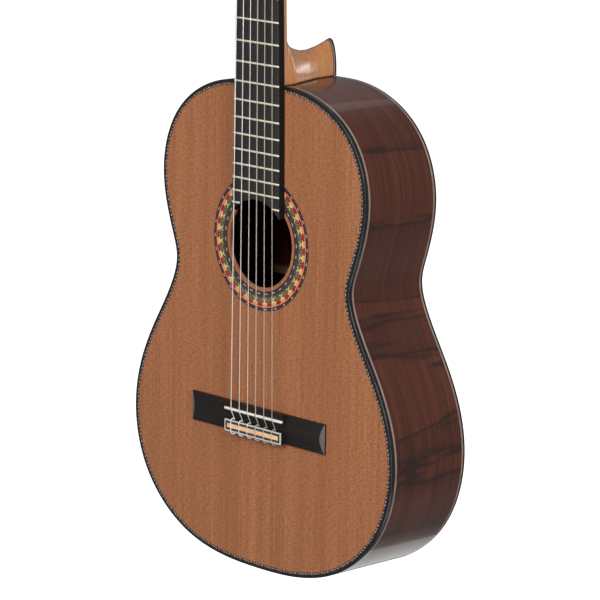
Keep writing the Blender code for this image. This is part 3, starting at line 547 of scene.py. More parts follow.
SPECKLED = {  # name of the material, colour, spread of tone, roughness
    "roller": ("roller_sleeve", (232, 230, 220), 0.06, 0.3),
    "tile_black": ("tile_black", (38, 31, 34), 0.3, 0.35),
    "tile_cream": ("tile_cream", (196, 184, 170), 0.15, 0.35),
    "tile_sand": ("tile_sand", (176, 158, 142), 0.15, 0.35),
    "tie_frame": ("tie_frame", (208, 209, 200), 0.1, 0.35),
    "tie_dark": ("tie_dark", (62, 60, 58), 0.25, 0.4),
    "tile_red": ("tile_red", (138, 70, 74), 0.2, 0.35),
    "tile_green": ("tile_green", (78, 88, 66), 0.2, 0.35),
    "tile_plum": ("tile_plum", (92, 66, 74), 0.2, 0.35),
    "ground": ("rosette_ground", (224, 146, 104), 0.1, 0.35),
    "berry": ("rosette_berry", (172, 34, 34), 0.25, 0.35),
    "shade": ("rosette_shade", (82, 75, 60), 0.3, 0.35),
    "flower": ("rosette_flower", (238, 222, 132), 0.1, 0.35),
    "leaf": ("rosette_leaf", (136, 131, 98), 0.2, 0.35),
}


def make_finishes():
    made = make_woods()
    for key, (name, tone, spread, roughness) in SPECKLED.items():
        made[key] = speckled(name, tone, spread, roughness)
    made["bone"] = speckled("bone_polished", (245, 240, 230), 0.08, 0.35, scale=(60, 700, 700))
    made["fret_metal"] = speckled("fret_metal", (250, 244, 220), 0.08, 0.3, metallic=0.3)
    made["brass"] = speckled("machine_brass", (214, 176, 104), 0.2, 0.25, metallic=1.0, scale=(90, 900, 90))
    made["steel"] = speckled("machine_steel", (196, 196, 192), 0.2, 0.22, metallic=1.0, scale=(500, 500, 500))
    made["screw"] = speckled("screw_steel", (206, 200, 178), 0.2, 0.3, metallic=1.0, scale=(900, 900, 900))
    made["pearl"] = pearl()
    made["wound"] = wound_string()
    made["nylon"] = nylon()
    return made


def pearl():
    paint = Paint("button_pearl", 0.2, coat=0.6)
    cloud = paint.noise((160, 160, 160), detail=3, distortion=1.5)
    stops = [(0.35, linear(206, 200, 190)), (0.5, linear(232, 229, 222)), (0.65, linear(244, 242, 236))]
    paint.colour(cloud, stops)
    paint.bump(cloud, 0.00002)
    return paint.material


def wound_string():
    """Fine turns of silvered wire across the string."""
    paint = Paint("string_wound", 0.3, metallic=0.35)
    inputs = {"Scale": 1, "Vector": paint.where((0, 0, 700))}
    wire = paint.node("ShaderNodeTexWave", inputs, bands_direction="Z").outputs["Fac"]
    paint.colour(wire, [(0, linear(214, 206, 200)), (0.6, linear(246, 240, 234))])
    paint.bump(wire, 0.00008, 0.6)
    return paint.material


def nylon():
    paint = Paint("string_nylon", 0.22)
    cloud = paint.noise((400, 400, 8))
    paint.colour(cloud, [(0.35, linear(204, 192, 184)), (0.65, linear(222, 210, 202))])
    paint.set("Transmission Weight", 0.4)
    paint.set("IOR", 1.5)
    paint.bump(cloud, 0.00001)
    return paint.material


# Body

RIM_STEPS = 150  # for half of the rim


def band(name, section, start, end, finish, sharp=35, first=0.0):
    """Sweeps a section of (inset, "front" or "back", distance) points round the rim, its grain along it."""
    count = max(2, round(RIM_STEPS * (end - start)))
    whole = end - start >= 2
    stations = [start + (end - start) * step / count for step in range(count if whole else count + 1)]
    rings = []
    for u in stations:
        ring = []
        for inset, side, distance in section:
            x, z = rim(u, inset)
            ring.append(body(x, distance if side == "front" else back_depth(x, z) - distance, z))
        rings.append(ring)
    walk = [0.0]
    for (a, sa, da), (b, sb, db) in zip(section, section[1:] + section[:1]):
        walk.append(walk[-1] + (0.1 if sa != sb else hypot(a - b, da - db)))
    step = (end - start) / count * HALF_RIM
    return loft(name, rings, finish, whole, sharp, lambda row, column: (first + row * step, walk[column]))


def strip(inner, outer, front, back):
    return [(outer, *front), (inner, *front), (inner, *back), (outer, *back)]


def circle(radius, steps, y=0.0):
    return [body(radius * cos(a), y, HOLE_Z + radius * sin(a)) for a in angles(steps)]


def make_soundboard(paint):
    """A plate with its sound hole."""
    work = bmesh.new()
    steps = 2 * RIM_STEPS
    outer = [body(x, 0, z) for x, z in (rim(2 * k / steps, PURFLING_INNER) for k in range(steps))]
    loops = []
    for points in (outer, circle(HOLE_RADIUS, 128)):
        corners = [work.verts.new(point) for point in points]
        loops.append([work.edges.new((a, b)) for a, b in zip(corners, corners[1:] + corners[:1])])
    bmesh.ops.triangle_fill(work, edges=loops[0] + loops[1], use_beauty=True, normal=(0, -1, 0))
    mesh = bpy.data.meshes.new("soundboard_plate")
    work.to_mesh(mesh)
    work.free()
    plate = place("soundboard_plate", mesh)
    mesh.materials.append(paint["cedar_top"])
    thicken = plate.modifiers.new("thickness", "SOLIDIFY")
    thicken.thickness = TOP
    thicken.offset = -1
    apply_modifiers(plate)
    front = min(vertex.co.y for vertex in plate.data.vertices)
    for vertex in plate.data.vertices:
        vertex.co.y -= front
    settle(plate, "cedar_top", "soundboard")


def tiled(name, bands, steps, finishes, edge_of, heights):
    """Bands of tiles: each has two edges, whose points edge_of gives, and a pattern of finish numbers."""
    points, faces, slots = [], [], []
    for *edges, pattern in bands:
        base = len(points)
        for y in heights:
            for edge in edges:
                points += edge_of(edge, y)
        for k in range(steps):
            after = (k + 1) % steps
            fi, fo, bi, bo = (base + steps * part for part in range(4))
            faces += [(fi + k, fi + after, fo + after, fo + k), (bi + k, bo + k, bo + after, bi + after),
                      (fi + k, bi + k, bi + after, fi + after), (fo + k, fo + after, bo + after, bo + k)]
            slots += [pattern[k % len(pattern)]] * 4
    return solid(name, points, faces, finishes, slots=slots)


# The rosette's motif, in millimetres: place along the ring, radius, half length, half width, lean
MOTIFS = 28
BERRIES = [
    (-2.7, 62.2, 1.3, 1.3, 0), (0, 62.5, 1.5, 1.5, 0), (2.7, 62.2, 1.3, 1.3, 0),
    (-1.35, 60.6, 1.3, 1.3, 0), (1.35, 60.6, 1.3, 1.3, 0),
]
LEAVES = [
    (-3.0, 58.0, 1.5, 0.6, 1.0), (3.0, 58.0, 1.5, 0.6, -1.0), (0, 57.8, 1.4, 0.6, 0),
    (-1.6, 56.0, 1.8, 0.55, 0.6), (1.6, 56.0, 1.8, 0.55, -0.6),
    (-3.9, 54.9, 1.0, 0.5, 0.9), (3.9, 54.9, 1.0, 0.5, -0.9),
]
FLOWERS = [  # these stand between two motifs
    (-1.3, 59.6, 2.6, 0.5, -0.55), (1.3, 59.6, 2.6, 0.5, 0.55), (0, 58.4, 3.0, 0.5, 0),
    (-1.6, 56.3, 1.6, 0.5, 0.8), (1.6, 56.3, 1.6, 0.5, -0.8),
]


def make_rosette(paint):
    """A mosaic of rings: dark dashed borders round a band of berries, flowers and leaves."""
    black, cream, red, plum, ground, shade = range(6)
    finishes = [paint[key] for key in ("tile_black", "tile_cream", "tile_red", "tile_plum", "ground", "shade")]
    dash = [cream] * 3 + [black] * 2 + [plum, black, red, black, plum] + [black] * 2
    near_dash = [black] * 2 + [cream] * 4 + [black, plum, black, red, black, plum]
    edges = [48.2, 48.8, 49.6, 50.4, 51.5, 52.3, 52.8, 53.4, 59.6, 64.3, 65.0, 65.8, 66.8, 67.5, 68.0]
    line_out, line_in = [plum, black, black], [black, black, plum]
    patterns = [[plum], [black], line_out, near_dash, line_in, [plum], [black], [shade],
                [ground], [black], line_out, dash, line_in, [black]]
    bands = [(inner * MM, outer * MM, pattern) for inner, outer, pattern in zip(edges, edges[1:], patterns)]
    steps, heights = 360, mm(-0.03, 0.4)
    rings = tiled("rosette_mosaic", bands, steps, finishes, lambda radius, y: circle(radius, steps, y), heights)
    settle(rings, "mosaic", "rosette")
    for depth, (key, shapes) in enumerate((("berry", BERRIES), ("flower", FLOWERS), ("leaf", LEAVES))):
        discs = []
        for middle in angles(MOTIFS):
            for along, radius, long, wide, lean in shapes:
                shift = pi * radius / MOTIFS if key == "flower" else 0
                discs.append((middle, shift + along, radius, long, wide, lean))
        settle(discs_piece(f"rosette_{key}", discs, paint[key], -0.05 * MM - 0.01 * MM * depth), "mosaic")


def discs_piece(name, discs, finish, front, corners=10):
    """Small oval inlays on the rosette: (angle, along the ring, radius, half length, half width, lean)."""
    points, faces = [], []
    for middle, along, radius, long, wide, lean in discs:
        angle = middle + along / radius
        out = Vector((cos(angle), 0, sin(angle)))
        side = Vector((-out.z, 0, out.x))
        base = len(points)
        for y in (front, 0.2 * MM):
            for a in angles(corners):
                up, over = long * cos(a), wide * sin(a)
                leant = up * cos(lean) - over * sin(lean)
                over = up * sin(lean) + over * cos(lean)
                points.append(body(0, y, HOLE_Z) + out * (radius + leant) * MM + side * over * MM)
        faces.append(tuple(range(base, base + corners)))
        faces.append(tuple(range(base + corners, base + 2 * corners)))
        for k in range(corners):
            after = (k + 1) % corners
            faces.append((base + k, base + after, base + corners + after, base + corners + k))
    return solid(name, points, faces, finish)


def make_purfling(paint):
    """Two rows of small tiles between thin lines, round the whole front."""
    finishes = [paint[key] for key in ("tile_black", "tile_sand", "tile_red", "tile_green")]
    steps = 1080
    edges = [BINDING, BINDING + 0.5 * MM, BINDING + 1.3 * MM, BINDING + 2.1 * MM, PURFLING_INNER]
    patterns = [[0], [1, 0, 0, 2, 0, 0, 1, 0, 0, 1, 3, 0], [1, 1, 0, 1, 2, 0, 1, 1, 0, 3, 1, 0], [0]]

    def edge_of(inset, y):
        return [body(x, y, z) for x, z in (rim(2 * k / steps, inset) for k in range(steps))]
    bands, heights = zip(edges[1:], edges, patterns), mm(-0.02, 1.0)
    made = tiled("purfling_mosaic", bands, steps, finishes, edge_of, heights)
    settle(made, "mosaic", "purfling_top")


def binding_section(side, wide, depth, radius, steps=4):
    """A binding's section, its outer edge rounded where it meets the face."""
    corner = []
    for k in range(steps + 1):
        a = pi / 2 * k / steps
        corner.append((radius * (1 - sin(a)), side, radius * (1 - cos(a))))
    return [(wide, side, 0)] + corner + [(0, side, depth), (wide, side, depth)]


def make_ribs(paint):
    neck_side, graft = rim_at(NECK_CORE_HALF), rim_at(GRAFT_HALF, tail=True)
    graft_edge = rim_at(GRAFT_HALF + 0.15 * MM, tail=True)
    front, back = ("front", BINDING_DEPTH + SIDE_LINE), ("back", BACK_BINDING_DEPTH + BACK_SIDE_LINE)
    outer, rosewood = strip(0, RIB, front, back), paint["rosewood_ribs"]
    settle(band("rib_treble", outer, neck_side, graft_edge, rosewood), "rosewood", "side_treble")
    bass = band("rib_bass", outer, 2 - graft_edge, 2 - neck_side, rosewood, first=3.0)
    settle(bass, "rosewood", "side_bass")
    settle(band("tail_graft", outer, graft, 2 - graft, paint["binding"]), "binding", "end_graft")
    edge = binding_section("front", BINDING, BINDING_DEPTH, 0.9 * MM)
    settle(band("binding_front", edge, 0, 2, paint["binding"], sharp=50), "binding", "binding_top")
    edge = binding_section("back", BACK_BINDING, BACK_BINDING_DEPTH, 1.2 * MM)
    settle(band("binding_rear", edge, 0, 2, paint["binding"], sharp=50), "binding", "binding_back")
    for name, side, depth, wide in (("side_line_front", "front", BINDING_DEPTH, SIDE_LINE),
                                    ("side_line_rear", "back", BACK_BINDING_DEPTH, BACK_SIDE_LINE)):
        line = strip(0, RIB, (side, depth), (side, depth + wide))
        settle(band(name, line, neck_side, 2 - neck_side, paint["maple_line"]), "veneer")


def make_back(paint):
    """Two arched plates on a narrow strip."""
    count, across = 120, 12
    edge = [rim(k / count, BACK_BINDING) for k in range(count + 1)]
    for name, side, node in (("back_plate_treble", 1, "back_treble"), ("back_plate_bass", -1, "back_bass")):
        rings = []
        for x, z in edge:
            x = max(x, 9 * MM)
            steps = [BACK_STRIP_HALF + (x - BACK_STRIP_HALF) * k / across for k in range(across + 1)]
            rings.append([body(side * at, back_depth(at, z), z) for at in steps]
                         + [body(side * at, back_depth(at, z) - BACK, z) for at in reversed(steps)])
        settle(loft(name, rings, paint["rosewood_back"]), "rosewood", node)
    rings = []
    half = BACK_STRIP_HALF - 0.05 * MM
    for z in np.linspace(edge[0][1], edge[-1][1], 60):
        outer, inner = back_depth(0, z), back_depth(0, z) - BACK
        rings.append([body(-half, outer, z), body(half, outer, z), body(half, inner, z), body(-half, inner, z)])
    settle(loft("back_inlay", rings, paint["maple_line"]), "veneer", "back_strip")


# Neck

def heel_half(depth):
    depths, halves = [0, 15, 40, 62, 91], [30.5, 30, 21, 13, 10]
    return float(np.interp(depth / MM, depths, halves)) * MM


def heel_reach(depth):
    depths = [6, 12, 16, 20, 27, 36, 48, 60, 75, 91]
    reaches = [62, 54, 46, 41, 35.5, 31.5, 28, 27.5, 31, 37]
    return float(np.interp(depth / MM, depths, reaches)) * MM


def heel_ring(depth, low, steps=48):
    half, reach = heel_half(depth), heel_reach(depth)
    points = []
    for angle in half_turn(steps):
        c, s = cos(angle), sin(angle)
        x = half * copysign(abs(c) ** 0.85, c)
        points.append(body(x, depth, low + (reach - low) * abs(s) ** 0.85))
    return points


def neck_ring(z, depth, half, steps=40):
    front = neck_plane(z)
    inner = [body(half * cos(a), front + depth * sin(a) ** 1.1, z)
             for a in half_turn(steps)[1:-1]]
    return [body(half, front, z)] + inner + [body(-half, front, z)]


def head_outline():
    treble = [(26, 0.5), (29, 8), (33, 17), (36, 26), (36, 172),
              (34, 179), (26, 182), (16, 183.5), (8, 188), (0, 190)]
    return treble + [(-x, length) for x, length in reversed(treble[:-1])]


def head_plate(name, front, back, finish):
    rings = [[head(x * MM, length * MM, depth) for x, length in head_outline()] for depth in (front, back)]
    return loft(name, rings, finish)


def cut_slots(target, finish):
    for side in (-1, 1):
        combine(target, slot_cutter(side, finish))


def slot_cutter(side, finish):
    middle, radius = sum(SLOT_X) / 2, (SLOT_X[1] - SLOT_X[0]) / 2
    edge = []
    for end, first in ((SLOT_L[1] - radius, 0), (SLOT_L[0] + radius, pi)):
        for turn in half_turn(24):
            angle = first + turn
            edge.append((side * (middle + radius * cos(angle)), end + radius * sin(angle)))
    depths = (-5 * MM, HEAD_BACK + 5 * MM)
    return loft("slot_cutter", [[head(x, length, depth) for x, length in edge] for depth in depths], finish)


def make_neck(paint):
    """Shaft, heel and head carved as one, with the corners between them flowing into each other."""
    cedar = paint["neck_cedar"]
    knots = [0.3, 60, 170, 265, 317, 330.3]
    depths = [17, 16, 15.5, 15, 14.5, 16]
    rings = []
    for z in np.linspace(knots[0], knots[-1], 40):
        depth = float(np.interp(z, knots, depths)) * MM
        rings.append(neck_ring(z * MM, depth, board_half(z * MM) - 0.2 * MM))
    neck = loft("neck_carved", rings, cedar)
    stations = np.linspace(5, HEEL_DEPTH / MM, 70)
    combine(neck, loft("heel", [heel_ring(d * MM, 0.3 * MM) for d in stations], cedar), "UNION")
    combine(neck, head_plate("head_blank", VENEER, HEAD_BACK, cedar), "UNION")
    cut_slots(neck, cedar)
    remesh = neck.modifiers.new("flow", "REMESH")
    remesh.mode = "VOXEL"
    remesh.voxel_size = 1.1 * MM
    smooth = neck.modifiers.new("smooth", "SMOOTH")
    smooth.factor = 0.5
    smooth.iterations = 12
    apply_modifiers(neck)
    neck.data.shade_smooth()
    settle(neck, "neck_cedar", "neck")
    line = loft("heel_line", [heel_ring(d, 0.3 * MM) for d in (HEEL_DEPTH, CAP_DEPTH[0])], paint["maple_line"])
    settle(line, "veneer", "heel_veneer")
    cap = loft("heel_cap_plate", [heel_ring(d, 0.3 * MM) for d in CAP_DEPTH], paint["binding"])
    settle(round_edges(cap, 0.5 * MM), "ebony", "heel_cap")
    face = head_plate("head_face", 0, VENEER, paint["rosewood_back"])
    cut_slots(face, cedar)
    settle(round_edges(face, 0.4 * MM, 2), "ebony", "head_veneer")


def make_fingerboard(paint):
    arc = BOARD_END_RADIUS
    rings = []
    for z in (-JOINT_Z, 0, BOARD_END_Z):
        half, plane = board_half(z), neck_plane(z)
        top = plane - BOARD_TOP
        rings.append([body(x, y, z) for x, y in ((-half, plane), (half, plane), (half, top), (-half, top))])
    board = loft("fingerboard_plate", rings, paint["ebony"])
    around = [(-14 * MM, arc), (5 * MM, arc)]
    combine(board, turned("end_cutter", body(0, 0, HOLE_Z), Vector((0, 1, 0)), around, paint["ebony"], 120))
    round_edges(board, 0.35 * MM, 2)
    # The sides take the darker ebony copy: painted shade.
    paint_faces(board, paint["ebony_side"], lambda face: face.normal.y > -0.7)
    settle(board, "ebony", "fingerboard")
    frets = []
    for number in range(1, FRET_COUNT + 1):
        z, outer = fret_z(number), board_half(fret_z(number)) - 0.2 * MM
        if number < FRET_COUNT:
            spans = [(-outer, outer)]
        else:
            inner = sqrt(arc**2 - (z - HOLE_Z) ** 2) + 0.8 * MM
            spans = [(-outer, -inner), (inner, outer)]
        for low, high in spans:
            frets.append(fret(f"fret_{number:02d}{'a' if low > 0 else ''}", low, high, z, paint["fret_metal"]))
    for made in frets:
        settle(made, "fret_metal")
    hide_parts("frets")


def fret(name, low, high, z, finish):
    """A half-round crown with its ends filed back."""
    top = neck_plane(z) - BOARD_TOP
    half, tall = 0.95 * MM, 0.9 * MM
    filed = ((0, 0.35), (0.35 * MM, 0.8), (0.9 * MM, 1))
    stations = [(low + back, size) for back, size in filed]
    stations += [(high - back, size) for back, size in filed[::-1]]
    rings = []
    for x, size in stations:
        crown = [(-tall * size * sin(a), half * cos(a)) for a in half_turn(10)]
        section = crown + [(0.3 * MM, -half), (0.3 * MM, half)]
        rings.append([body(x, top + y, z + along) for y, along in section])
    return loft(name, rings, finish)


# Bridge and strings

def make_bridge(paint):
    low, high = BRIDGE_Z[1], BRIDGE_Z[0]
    finish = paint["bridge_wood"]
    profile, steps = [(low, 0)], 24
    for step in range(steps + 1):
        z = low + (high - low) * step / steps
        profile.append((z, -(WING_EDGE + (WING_CREST - WING_EDGE) * sin(pi * step / steps))))
    profile.append((high, 0))
    left, right = wing_rings(-1, profile), wing_rings(1, profile)
    bridge = loft("bridge_carved", left + right[::-1], finish)
    (saddle_edge, saddle_tall), (tie_edge, tie_tall) = SADDLE_BLOCK, TIE_BLOCK
    blocks = [("saddle_block", SADDLE_BLOCK_HALF, saddle_tall, saddle_edge, high),
              ("tie_block", TIE_BLOCK_HALF, tie_tall, low, tie_edge)]
    for name, half, tall, start, stop in blocks:
        combine(bridge, box(name, (-half, -tall, start), (half, -MM, stop), finish), "UNION")
    half, thick = SADDLE_SLOT_HALF, SADDLE_THICKNESS / 2
    slot = (-half, -9 * MM, SADDLE_Z - thick), (half, SADDLE_FLOOR, SADDLE_Z + thick)
    combine(bridge, box("saddle_slot", *slot, finish))
    for number in range(len(STRING_DIAMETERS)):
        at = Vector((string_x(number, SADDLE_SPACING), TIE_HOLE_Y, JOINT_Z))
        span = [(low - MM, 1.0 * MM), (tie_edge + MM, 1.0 * MM)]
        combine(bridge, turned("tie_hole", at, Vector((0, 0, 1)), span, finish, 16))
    round_edges(bridge, 0.3 * MM, 2, 50)
    # The end facets of the wings take the lighter grey copy: a painted highlight.
    facets = BRIDGE_HALF - 8.2 * MM
    paint_faces(bridge, paint["bridge_facet"],
                lambda face: abs(face.center.x) > facets and 0.3 < abs(face.normal.x) < 0.7)
    settle(bridge, "rosewood", "bridge")
    make_saddle(paint)
    make_tie_inlay(paint)


def wing_rings(side, profile):
    """The upright end of a wing, and the section where the facet over it starts."""
    foot = [body(side * BRIDGE_HALF, max(y, -WING_FOOT), z) for z, y in profile]
    inset = [WING_SLOPE * max(0.05 * MM, -y - WING_FOOT) for z, y in profile]
    return [foot, [body(side * (BRIDGE_HALF - in_by), y, z) for in_by, (z, y) in zip(inset, profile)]]


def make_saddle(paint):
    half, top = SADDLE_THICKNESS / 2 - 0.05 * MM, -SADDLE_TOP
    crown = [(half * cos(a), top + half * (1 - sin(a)) * 0.8) for a in half_turn(12)]
    profile = [(-half, -3.6 * MM), (half, -3.6 * MM)] + crown
    rings = []
    ends = [(SADDLE_HALF - back * MM, drop * MM) for back, drop in ((0, 1.2), (0.4, 0.5), (1.3, 0.1), (2.4, 0))]
    for x, drop in [(-x, drop) for x, drop in ends] + ends[::-1]:
        rings.append([body(x, y + drop if y < -4 * MM else y, SADDLE_Z + z) for z, y in profile])
    settle(loft("saddle_bar", rings, paint["bone"], sharp=60), "bone", "saddle")


def make_tie_inlay(paint):
    """A light panel in a dark line in a bone frame, on top of the tie block."""
    base, top = -TIE_BLOCK[1], -TIE_BLOCK[1] - INLAY_THICKNESS
    low, high, half = BRIDGE_Z[1], TIE_BLOCK[0], TIE_BLOCK_HALF

    def layer(name, inset, front, back, finish):
        return box(name, (-half + inset, front, low + inset), (half - inset, back, high - inset), paint[finish])
    rim_width, line_width = 1.4 * MM, 2.4 * MM
    edge = layer("tie_frame", 0, top, base, "tie_frame")
    combine(edge, layer("tie_cutter", rim_width, top - MM, base + 0.01 * MM, "tie_frame"))
    settle(round_edges(edge, 0.2 * MM, 2), "bone", "tie_block_inlay")
    settle(layer("tie_line", rim_width, top + 0.1 * MM, base, "tie_dark"), "ebony")
    settle(layer("tie_panel", rim_width + line_width, top + 0.02 * MM, base, "tie_panel"), "tie_inlay")


def string_x(number, spacing):
    return spacing * (number / 5 - 0.5)


def roller_of(number):
    side = -1 if number < STRINGS_A_SIDE else 1
    order = number if number < STRINGS_A_SIDE else 2 * STRINGS_A_SIDE - 1 - number
    return side, order, (20 - 4.5 * order) * MM


def string_route(number):
    """From the tie block through its hole, over the saddle and the nut, to the front of its roller."""
    radius = STRING_DIAMETERS[number] / 2
    at_saddle, at_nut = string_x(number, SADDLE_SPACING), string_x(number, NUT_SPACING)
    side, order, across = roller_of(number)
    nut = body(at_nut, neck_plane(-JOINT_Z) - BOARD_TOP - STRING_RISE, -JOINT_Z + 0.5 * MM)
    reach, clear = head(side * across, ROLLER_L[order], ROLLER_DEPTH) - nut, ROLLER_RADIUS + 0.1 * MM + radius
    flat = Vector((0, reach.y, reach.z))
    turn = asin(clear / flat.length)
    towards = flat.normalized()
    front = Vector((0, -towards.z, towards.y))
    return [
        body(at_saddle, TIE_HOLE_Y, BRIDGE_Z[1] - 0.5 * MM),
        body(at_saddle, TIE_HOLE_Y, TIE_BLOCK[0]),
        body(at_saddle, -SADDLE_TOP - 0.05 * MM - radius, SADDLE_Z),
        nut,
        nut + reach + (front * cos(turn) - towards * sin(turn)) * clear,
    ]


def make_strings(paint):
    for number, wide in enumerate(STRING_DIAMETERS):
        wound = number < STRINGS_A_SIDE
        finish, slot = (paint["wound"], "wound_string") if wound else (paint["nylon"], "nylon")
        name = f"string_{2 * STRINGS_A_SIDE - number}"
        settle(tube(f"{name}_taut", [string_route(number)], wide / 2, finish), slot, name)
        settle(tube(f"{name}_knot", knot_routes(number), wide / 2, finish), slot)
        side, order, across = roller_of(number)
        label = f"{'bass' if side < 0 else 'treble'}_{order + 1}"
        settle(tube(f"{name}_winding", [winding(number)], wide / 2, finish), slot, rides=f"roller_{label}")


def knot_routes(number):
    """Back over the tie block, hooked round the string in front of it, and its end tucked away behind."""
    x, radius = string_x(number, SADDLE_SPACING), STRING_DIAMETERS[number] / 2
    top, hole = -TIE_BLOCK[1] - INLAY_THICKNESS - radius, TIE_HOLE_Y
    behind, ahead = BRIDGE_Z[1] - radius, TIE_BLOCK[0] + radius
    middle = (behind + ahead) / 2
    over = [(0, hole, behind + radius, -0.6), (-0.3, hole, behind, -0.5, -1.6), (-0.9, top, behind, -0.2, 0.9),
            (-1.2, top, behind + radius, 0.9), (-1.2, top, middle, 0), (-1.0, top, ahead - radius, -0.9),
            (-0.8, top, ahead, 0.3, 0.9), (0.1, top, ahead + radius, 0.9, 2.2), (0.9, top, ahead, 0.4, 3.0)]
    tail = [(-1.2, top, behind, -0.2, 0.2), (-0.2, top, behind, -1.4, 1.5), (1.6, top, behind, -1.5, 2.4),
            (3.2, top, behind, -0.9, 1.6), (4.0, top, behind, -0.4, 0.9)]
    routes = []
    for points in (over, tail):
        routes.append(smooth_route([knot_point(x, *point) for point in points]))
    return routes


def knot_point(x, across, y, z, along, down=0.0):
    """A point beside a place on the bridge, by millimetres across, along and down to the wood."""
    return body(x + across * MM, y + down * MM, z + along * MM)


def winding(number, count=4.5, steps=24):
    """Turns of string on its roller, from where the taut string reaches it."""
    side, order, across = roller_of(number)
    wide = STRING_DIAMETERS[number]
    centre = head(side * across, ROLLER_L[order], ROLLER_DEPTH)
    out = string_route(number)[-1] - centre
    out = Vector((0, out.y, out.z)).normalized()
    over = Vector((1, 0, 0)).cross(out)
    over *= 1 if over.z > 0 else -1
    radius = ROLLER_RADIUS + wide / 2 + 0.02 * MM
    pitch = wide * 1.05 * (-side if order == 0 else side)
    points = []
    for step in range(int(count * steps) + 1):
        angle = 2 * pi * step / steps
        drift = Vector((pitch * step / steps, 0, 0))
        points.append(centre + drift + (out * cos(angle) + over * sin(angle)) * radius)
    return points


# Tuning machines

def make_machines(paint):
    for side, name in ((-1, "bass"), (1, "treble")):
        dress(f"tuner_plate_{name}", paint["brass"])
        for k, length in enumerate(PLATE_SCREWS):
            centre = head(side * (HEAD_HALF + 1.5 * MM), length, 6 * MM)
            screw(f"plate_screw_{name}_{k + 1}", centre, side, 1.7 * MM, paint, "guitar")
        for order, length in enumerate(ROLLER_L):
            label = f"{name}_{order + 1}"
            dress(f"tuner_worm_{label}", paint["steel"])
            dress(f"tuner_gear_{label}", paint["brass"])
            make_roller(label, side, length, paint)
            make_button(label, side, length - WORM_OFFSET, paint)
            centre = head(side * (GEAR_X[1] + 0.05 * MM), length, ROLLER_DEPTH)
            screw(f"gear_screw_{label}", centre, side, 2.6 * MM, paint, f"roller_{label}")


def dress(node, finish):
    """Gives a CAD piece its finish."""
    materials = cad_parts[node].data.materials
    materials.clear()
    materials.append(finish)


def screw(name, centre, side, radius, paint, rides):
    """A domed screw with a slot."""
    tall = 0.45 * radius
    dome = [(0.15, 1), (0.55, 0.92), (0.85, 0.7), (1, 0.4)]
    profile = [(-0.3 * MM, radius)] + [(up * tall, share * radius) for up, share in dome]
    made = turned(name, centre, Vector((side, 0, 0)), profile, paint["screw"], 24, 60)
    narrow, long = 0.13 * radius, 2 * radius
    rings = []
    for x in sorted((centre.x + side * 0.55 * tall, centre.x + side * 2 * tall)):
        at = Vector((x, centre.y, centre.z))
        corners = [(-narrow, -long), (narrow, -long), (narrow, long), (-narrow, long)]
        rings.append([at + HEAD_ALONG * a + HEAD_BEHIND * b for a, b in corners])
    combine(made, loft("groove", rings, paint["screw"]))
    settle(made, "machine_steel", rides=rides)


def make_roller(label, side, length, paint):
    low, high = SLOT_X[0] + 0.6 * MM, SLOT_X[1] - 0.6 * MM
    r, edge = ROLLER_RADIUS, 0.4 * MM
    sleeve = [(low, r - edge), (low + edge, r), (high - edge, r), (high, r - edge)]
    centre, axis, rides = head(0, length, ROLLER_DEPTH), Vector((side, 0, 0)), f"roller_{label}"
    made = turned(f"string_roller_{label}", centre, axis, sleeve, paint["roller"], 40)
    settle(made, "roller_bone", f"tuner_roller_{label}", rides=rides)
    start, stop = GEAR_X
    thick, thin = 2.1 * MM, 1.6 * MM
    axle = [(3.9 * MM, thick), (start - 0.4 * MM, thick), (start - 0.3 * MM, thin), (stop + 0.2 * MM, thin)]
    made = turned(f"roller_axle_{label}", centre, axis, axle, paint["steel"], 24)
    settle(made, "machine_steel", rides=rides)


def make_button(label, side, length, paint):
    """An oval pearl grip with a rounded rim and a metal collar."""
    centre, rides = head(side * WORM_X, length, 0), f"knob_{label}"
    start, stop = BUTTON_N
    half_thick, half_long = 4.2 * MM, 7.2 * MM
    shape = [(0, 0.38), (0.02, 0.46), (0.07, 0.6), (0.15, 0.8), (0.27, 0.93), (0.42, 1), (0.6, 1),
             (0.75, 0.96), (0.87, 0.85), (0.95, 0.66), (0.99, 0.42), (1, 0.2)]
    rings = []
    for t, size in shape:
        at = centre + HEAD_BEHIND * (start + (stop - start) * t)
        rings.append([at + Vector((half_thick * size * cos(a), 0, 0)) + HEAD_ALONG * half_long * size * sin(a)
                      for a in angles(40)])
    made = loft(f"button_{label}", rings, paint["pearl"], sharp=70)
    settle(made, "pearl", f"tuner_button_{label}", rides=rides)
    profile = [(-2.2, 2.2), (-1.8, 2.6), (-0.4, 2.9), (0.4, 2.6)]
    collar = [(start + at * MM, radius * MM) for at, radius in profile]
    made = turned(f"button_collar_{label}", centre, HEAD_BEHIND, collar, paint["brass"], 28)
    settle(made, "machine_brass", rides=rides)


def dress_inner(paint):
    """CAD pieces that are right as they are, and only need their finish."""
    for node in ("lining_top", "lining_back", "tail_block", "fan_bracing",
                 "harmonic_bar_upper", "harmonic_bar_lower", "back_bracing"):
        dress(node, paint["spruce"])
    dress("nut", paint["bone"])


# Studio

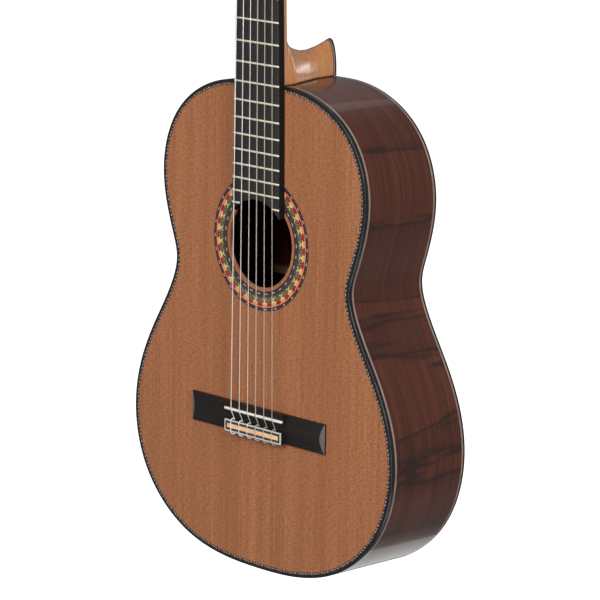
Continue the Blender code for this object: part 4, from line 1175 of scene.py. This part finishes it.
def make_stage():
    """A pale floor and the light of a white studio."""
    z, half = CAD_BOX[0].z - 0.6, 12
    corners = [(-half, -half, z), (half, -half, z), (half, half, z), (-half, half, z)]
    floor = solid("floor", corners, [(0, 1, 2, 3)], pale_floor())
    floor.visible_diffuse = False
    floor.visible_glossy = False
    make_world()
    lights = [  # name, place, what it faces, size, watts
        ("key", (0.5, -3.2, 1.5), (0, 0, -0.45), (1.6, 1.6), 88),
        ("fill", (3.2, -0.9, 0.9), (0, 0, -0.45), (1.2, 1.2), 72),
        ("low", (0.4, -2.5, -1.2), (0.1, 0, -0.66), (0.8, 0.8), 12),
        ("behind", (-1.2, 2.1, 2.4), (0, 0, -0.1), (1.3, 1.2), 2.4),
        ("strip", (0.25, 2.35, -0.1), (0, 0.05, -0.3), (0.12, 0.6), 1.5),
        ("edge", (0.75, 2.2, -0.35), (0, 0, 0.1), (0.16, 0.7), 0.8),
        ("under", (-1.2, 1.9, -2.5), (0, 0, -0.75), (1.4, 1.2), 4.5),
        ("below", (1.6, 0.4, -2.3), (0, 0, -0.5), (1.6, 1.2), 24),
    ]
    for name, at, target, size, power in lights:
        data = bpy.data.lights.new(name, "AREA")
        data.shape = "RECTANGLE"
        data.size, data.size_y = size
        data.energy = power
        made = place(name, data)
        made.location = at
        made.rotation_euler = (Vector(target) - Vector(at)).to_track_quat("-Z", "Y").to_euler()


def make_world():
    """White to the eye, and a soft grey to the surfaces that it lights."""
    world = bpy.data.worlds.new("studio")
    bpy.context.scene.world = world
    world.use_nodes = True
    tree = world.node_tree
    background = tree.nodes["Background"]
    rays = tree.nodes.new("ShaderNodeLightPath")
    strength = tree.nodes.new("ShaderNodeMapRange")
    strength.inputs["To Min"].default_value = 0.22
    strength.inputs["To Max"].default_value = 1.0
    tree.links.new(rays.outputs["Is Camera Ray"], strength.inputs["Value"])
    tree.links.new(strength.outputs["Result"], background.inputs["Strength"])
    background.inputs["Color"].default_value = (1, 1, 1, 1)


def pale_floor():
    paint = Paint("floor_pale", 0.9, specular=0.1)
    cloud = paint.noise((2, 2, 2))
    paint.colour(cloud, [(0.3, (0.93, 0.93, 0.93, 1)), (0.7, (0.97, 0.97, 0.97, 1))])
    paint.set("Emission Color", (1, 1, 1, 1))
    paint.set("Emission Strength", 1.0)
    return paint.material


def make_camera():
    data = bpy.data.cameras.new("camera")
    data.lens = CAMERA_LENS
    data.sensor_width = 36
    data.clip_end = 60
    camera = place("camera", data)
    azimuth, elevation = radians(CAMERA_AZIMUTH), radians(CAMERA_ELEVATION)
    level = Vector((-sin(azimuth), cos(azimuth), 0))
    ahead = level * cos(elevation) - Vector((0, 0, sin(elevation)))
    right = Vector((cos(azimuth), sin(azimuth), 0))
    up = right.cross(ahead)
    roll = radians(CAMERA_ROLL)
    rolled = right * cos(roll) + up * sin(roll)
    up = up * cos(roll) - right * sin(roll)
    turn = Matrix((rolled, up, -ahead)).transposed().to_4x4()
    camera.matrix_world = Matrix.Translation(CAMERA_TARGET - ahead * CAMERA_DISTANCE) @ turn
    bpy.context.scene.camera = camera


def main():
    make_camera()
    make_stage()
    bpy.context.scene.view_settings.view_transform = "Standard"
    paint = make_finishes()
    make_soundboard(paint)
    make_rosette(paint)
    make_purfling(paint)
    make_ribs(paint)
    make_back(paint)
    make_neck(paint)
    make_fingerboard(paint)
    make_bridge(paint)
    make_strings(paint)
    make_machines(paint)
    dress_inner(paint)


main()
bpy.context.view_layer.update()
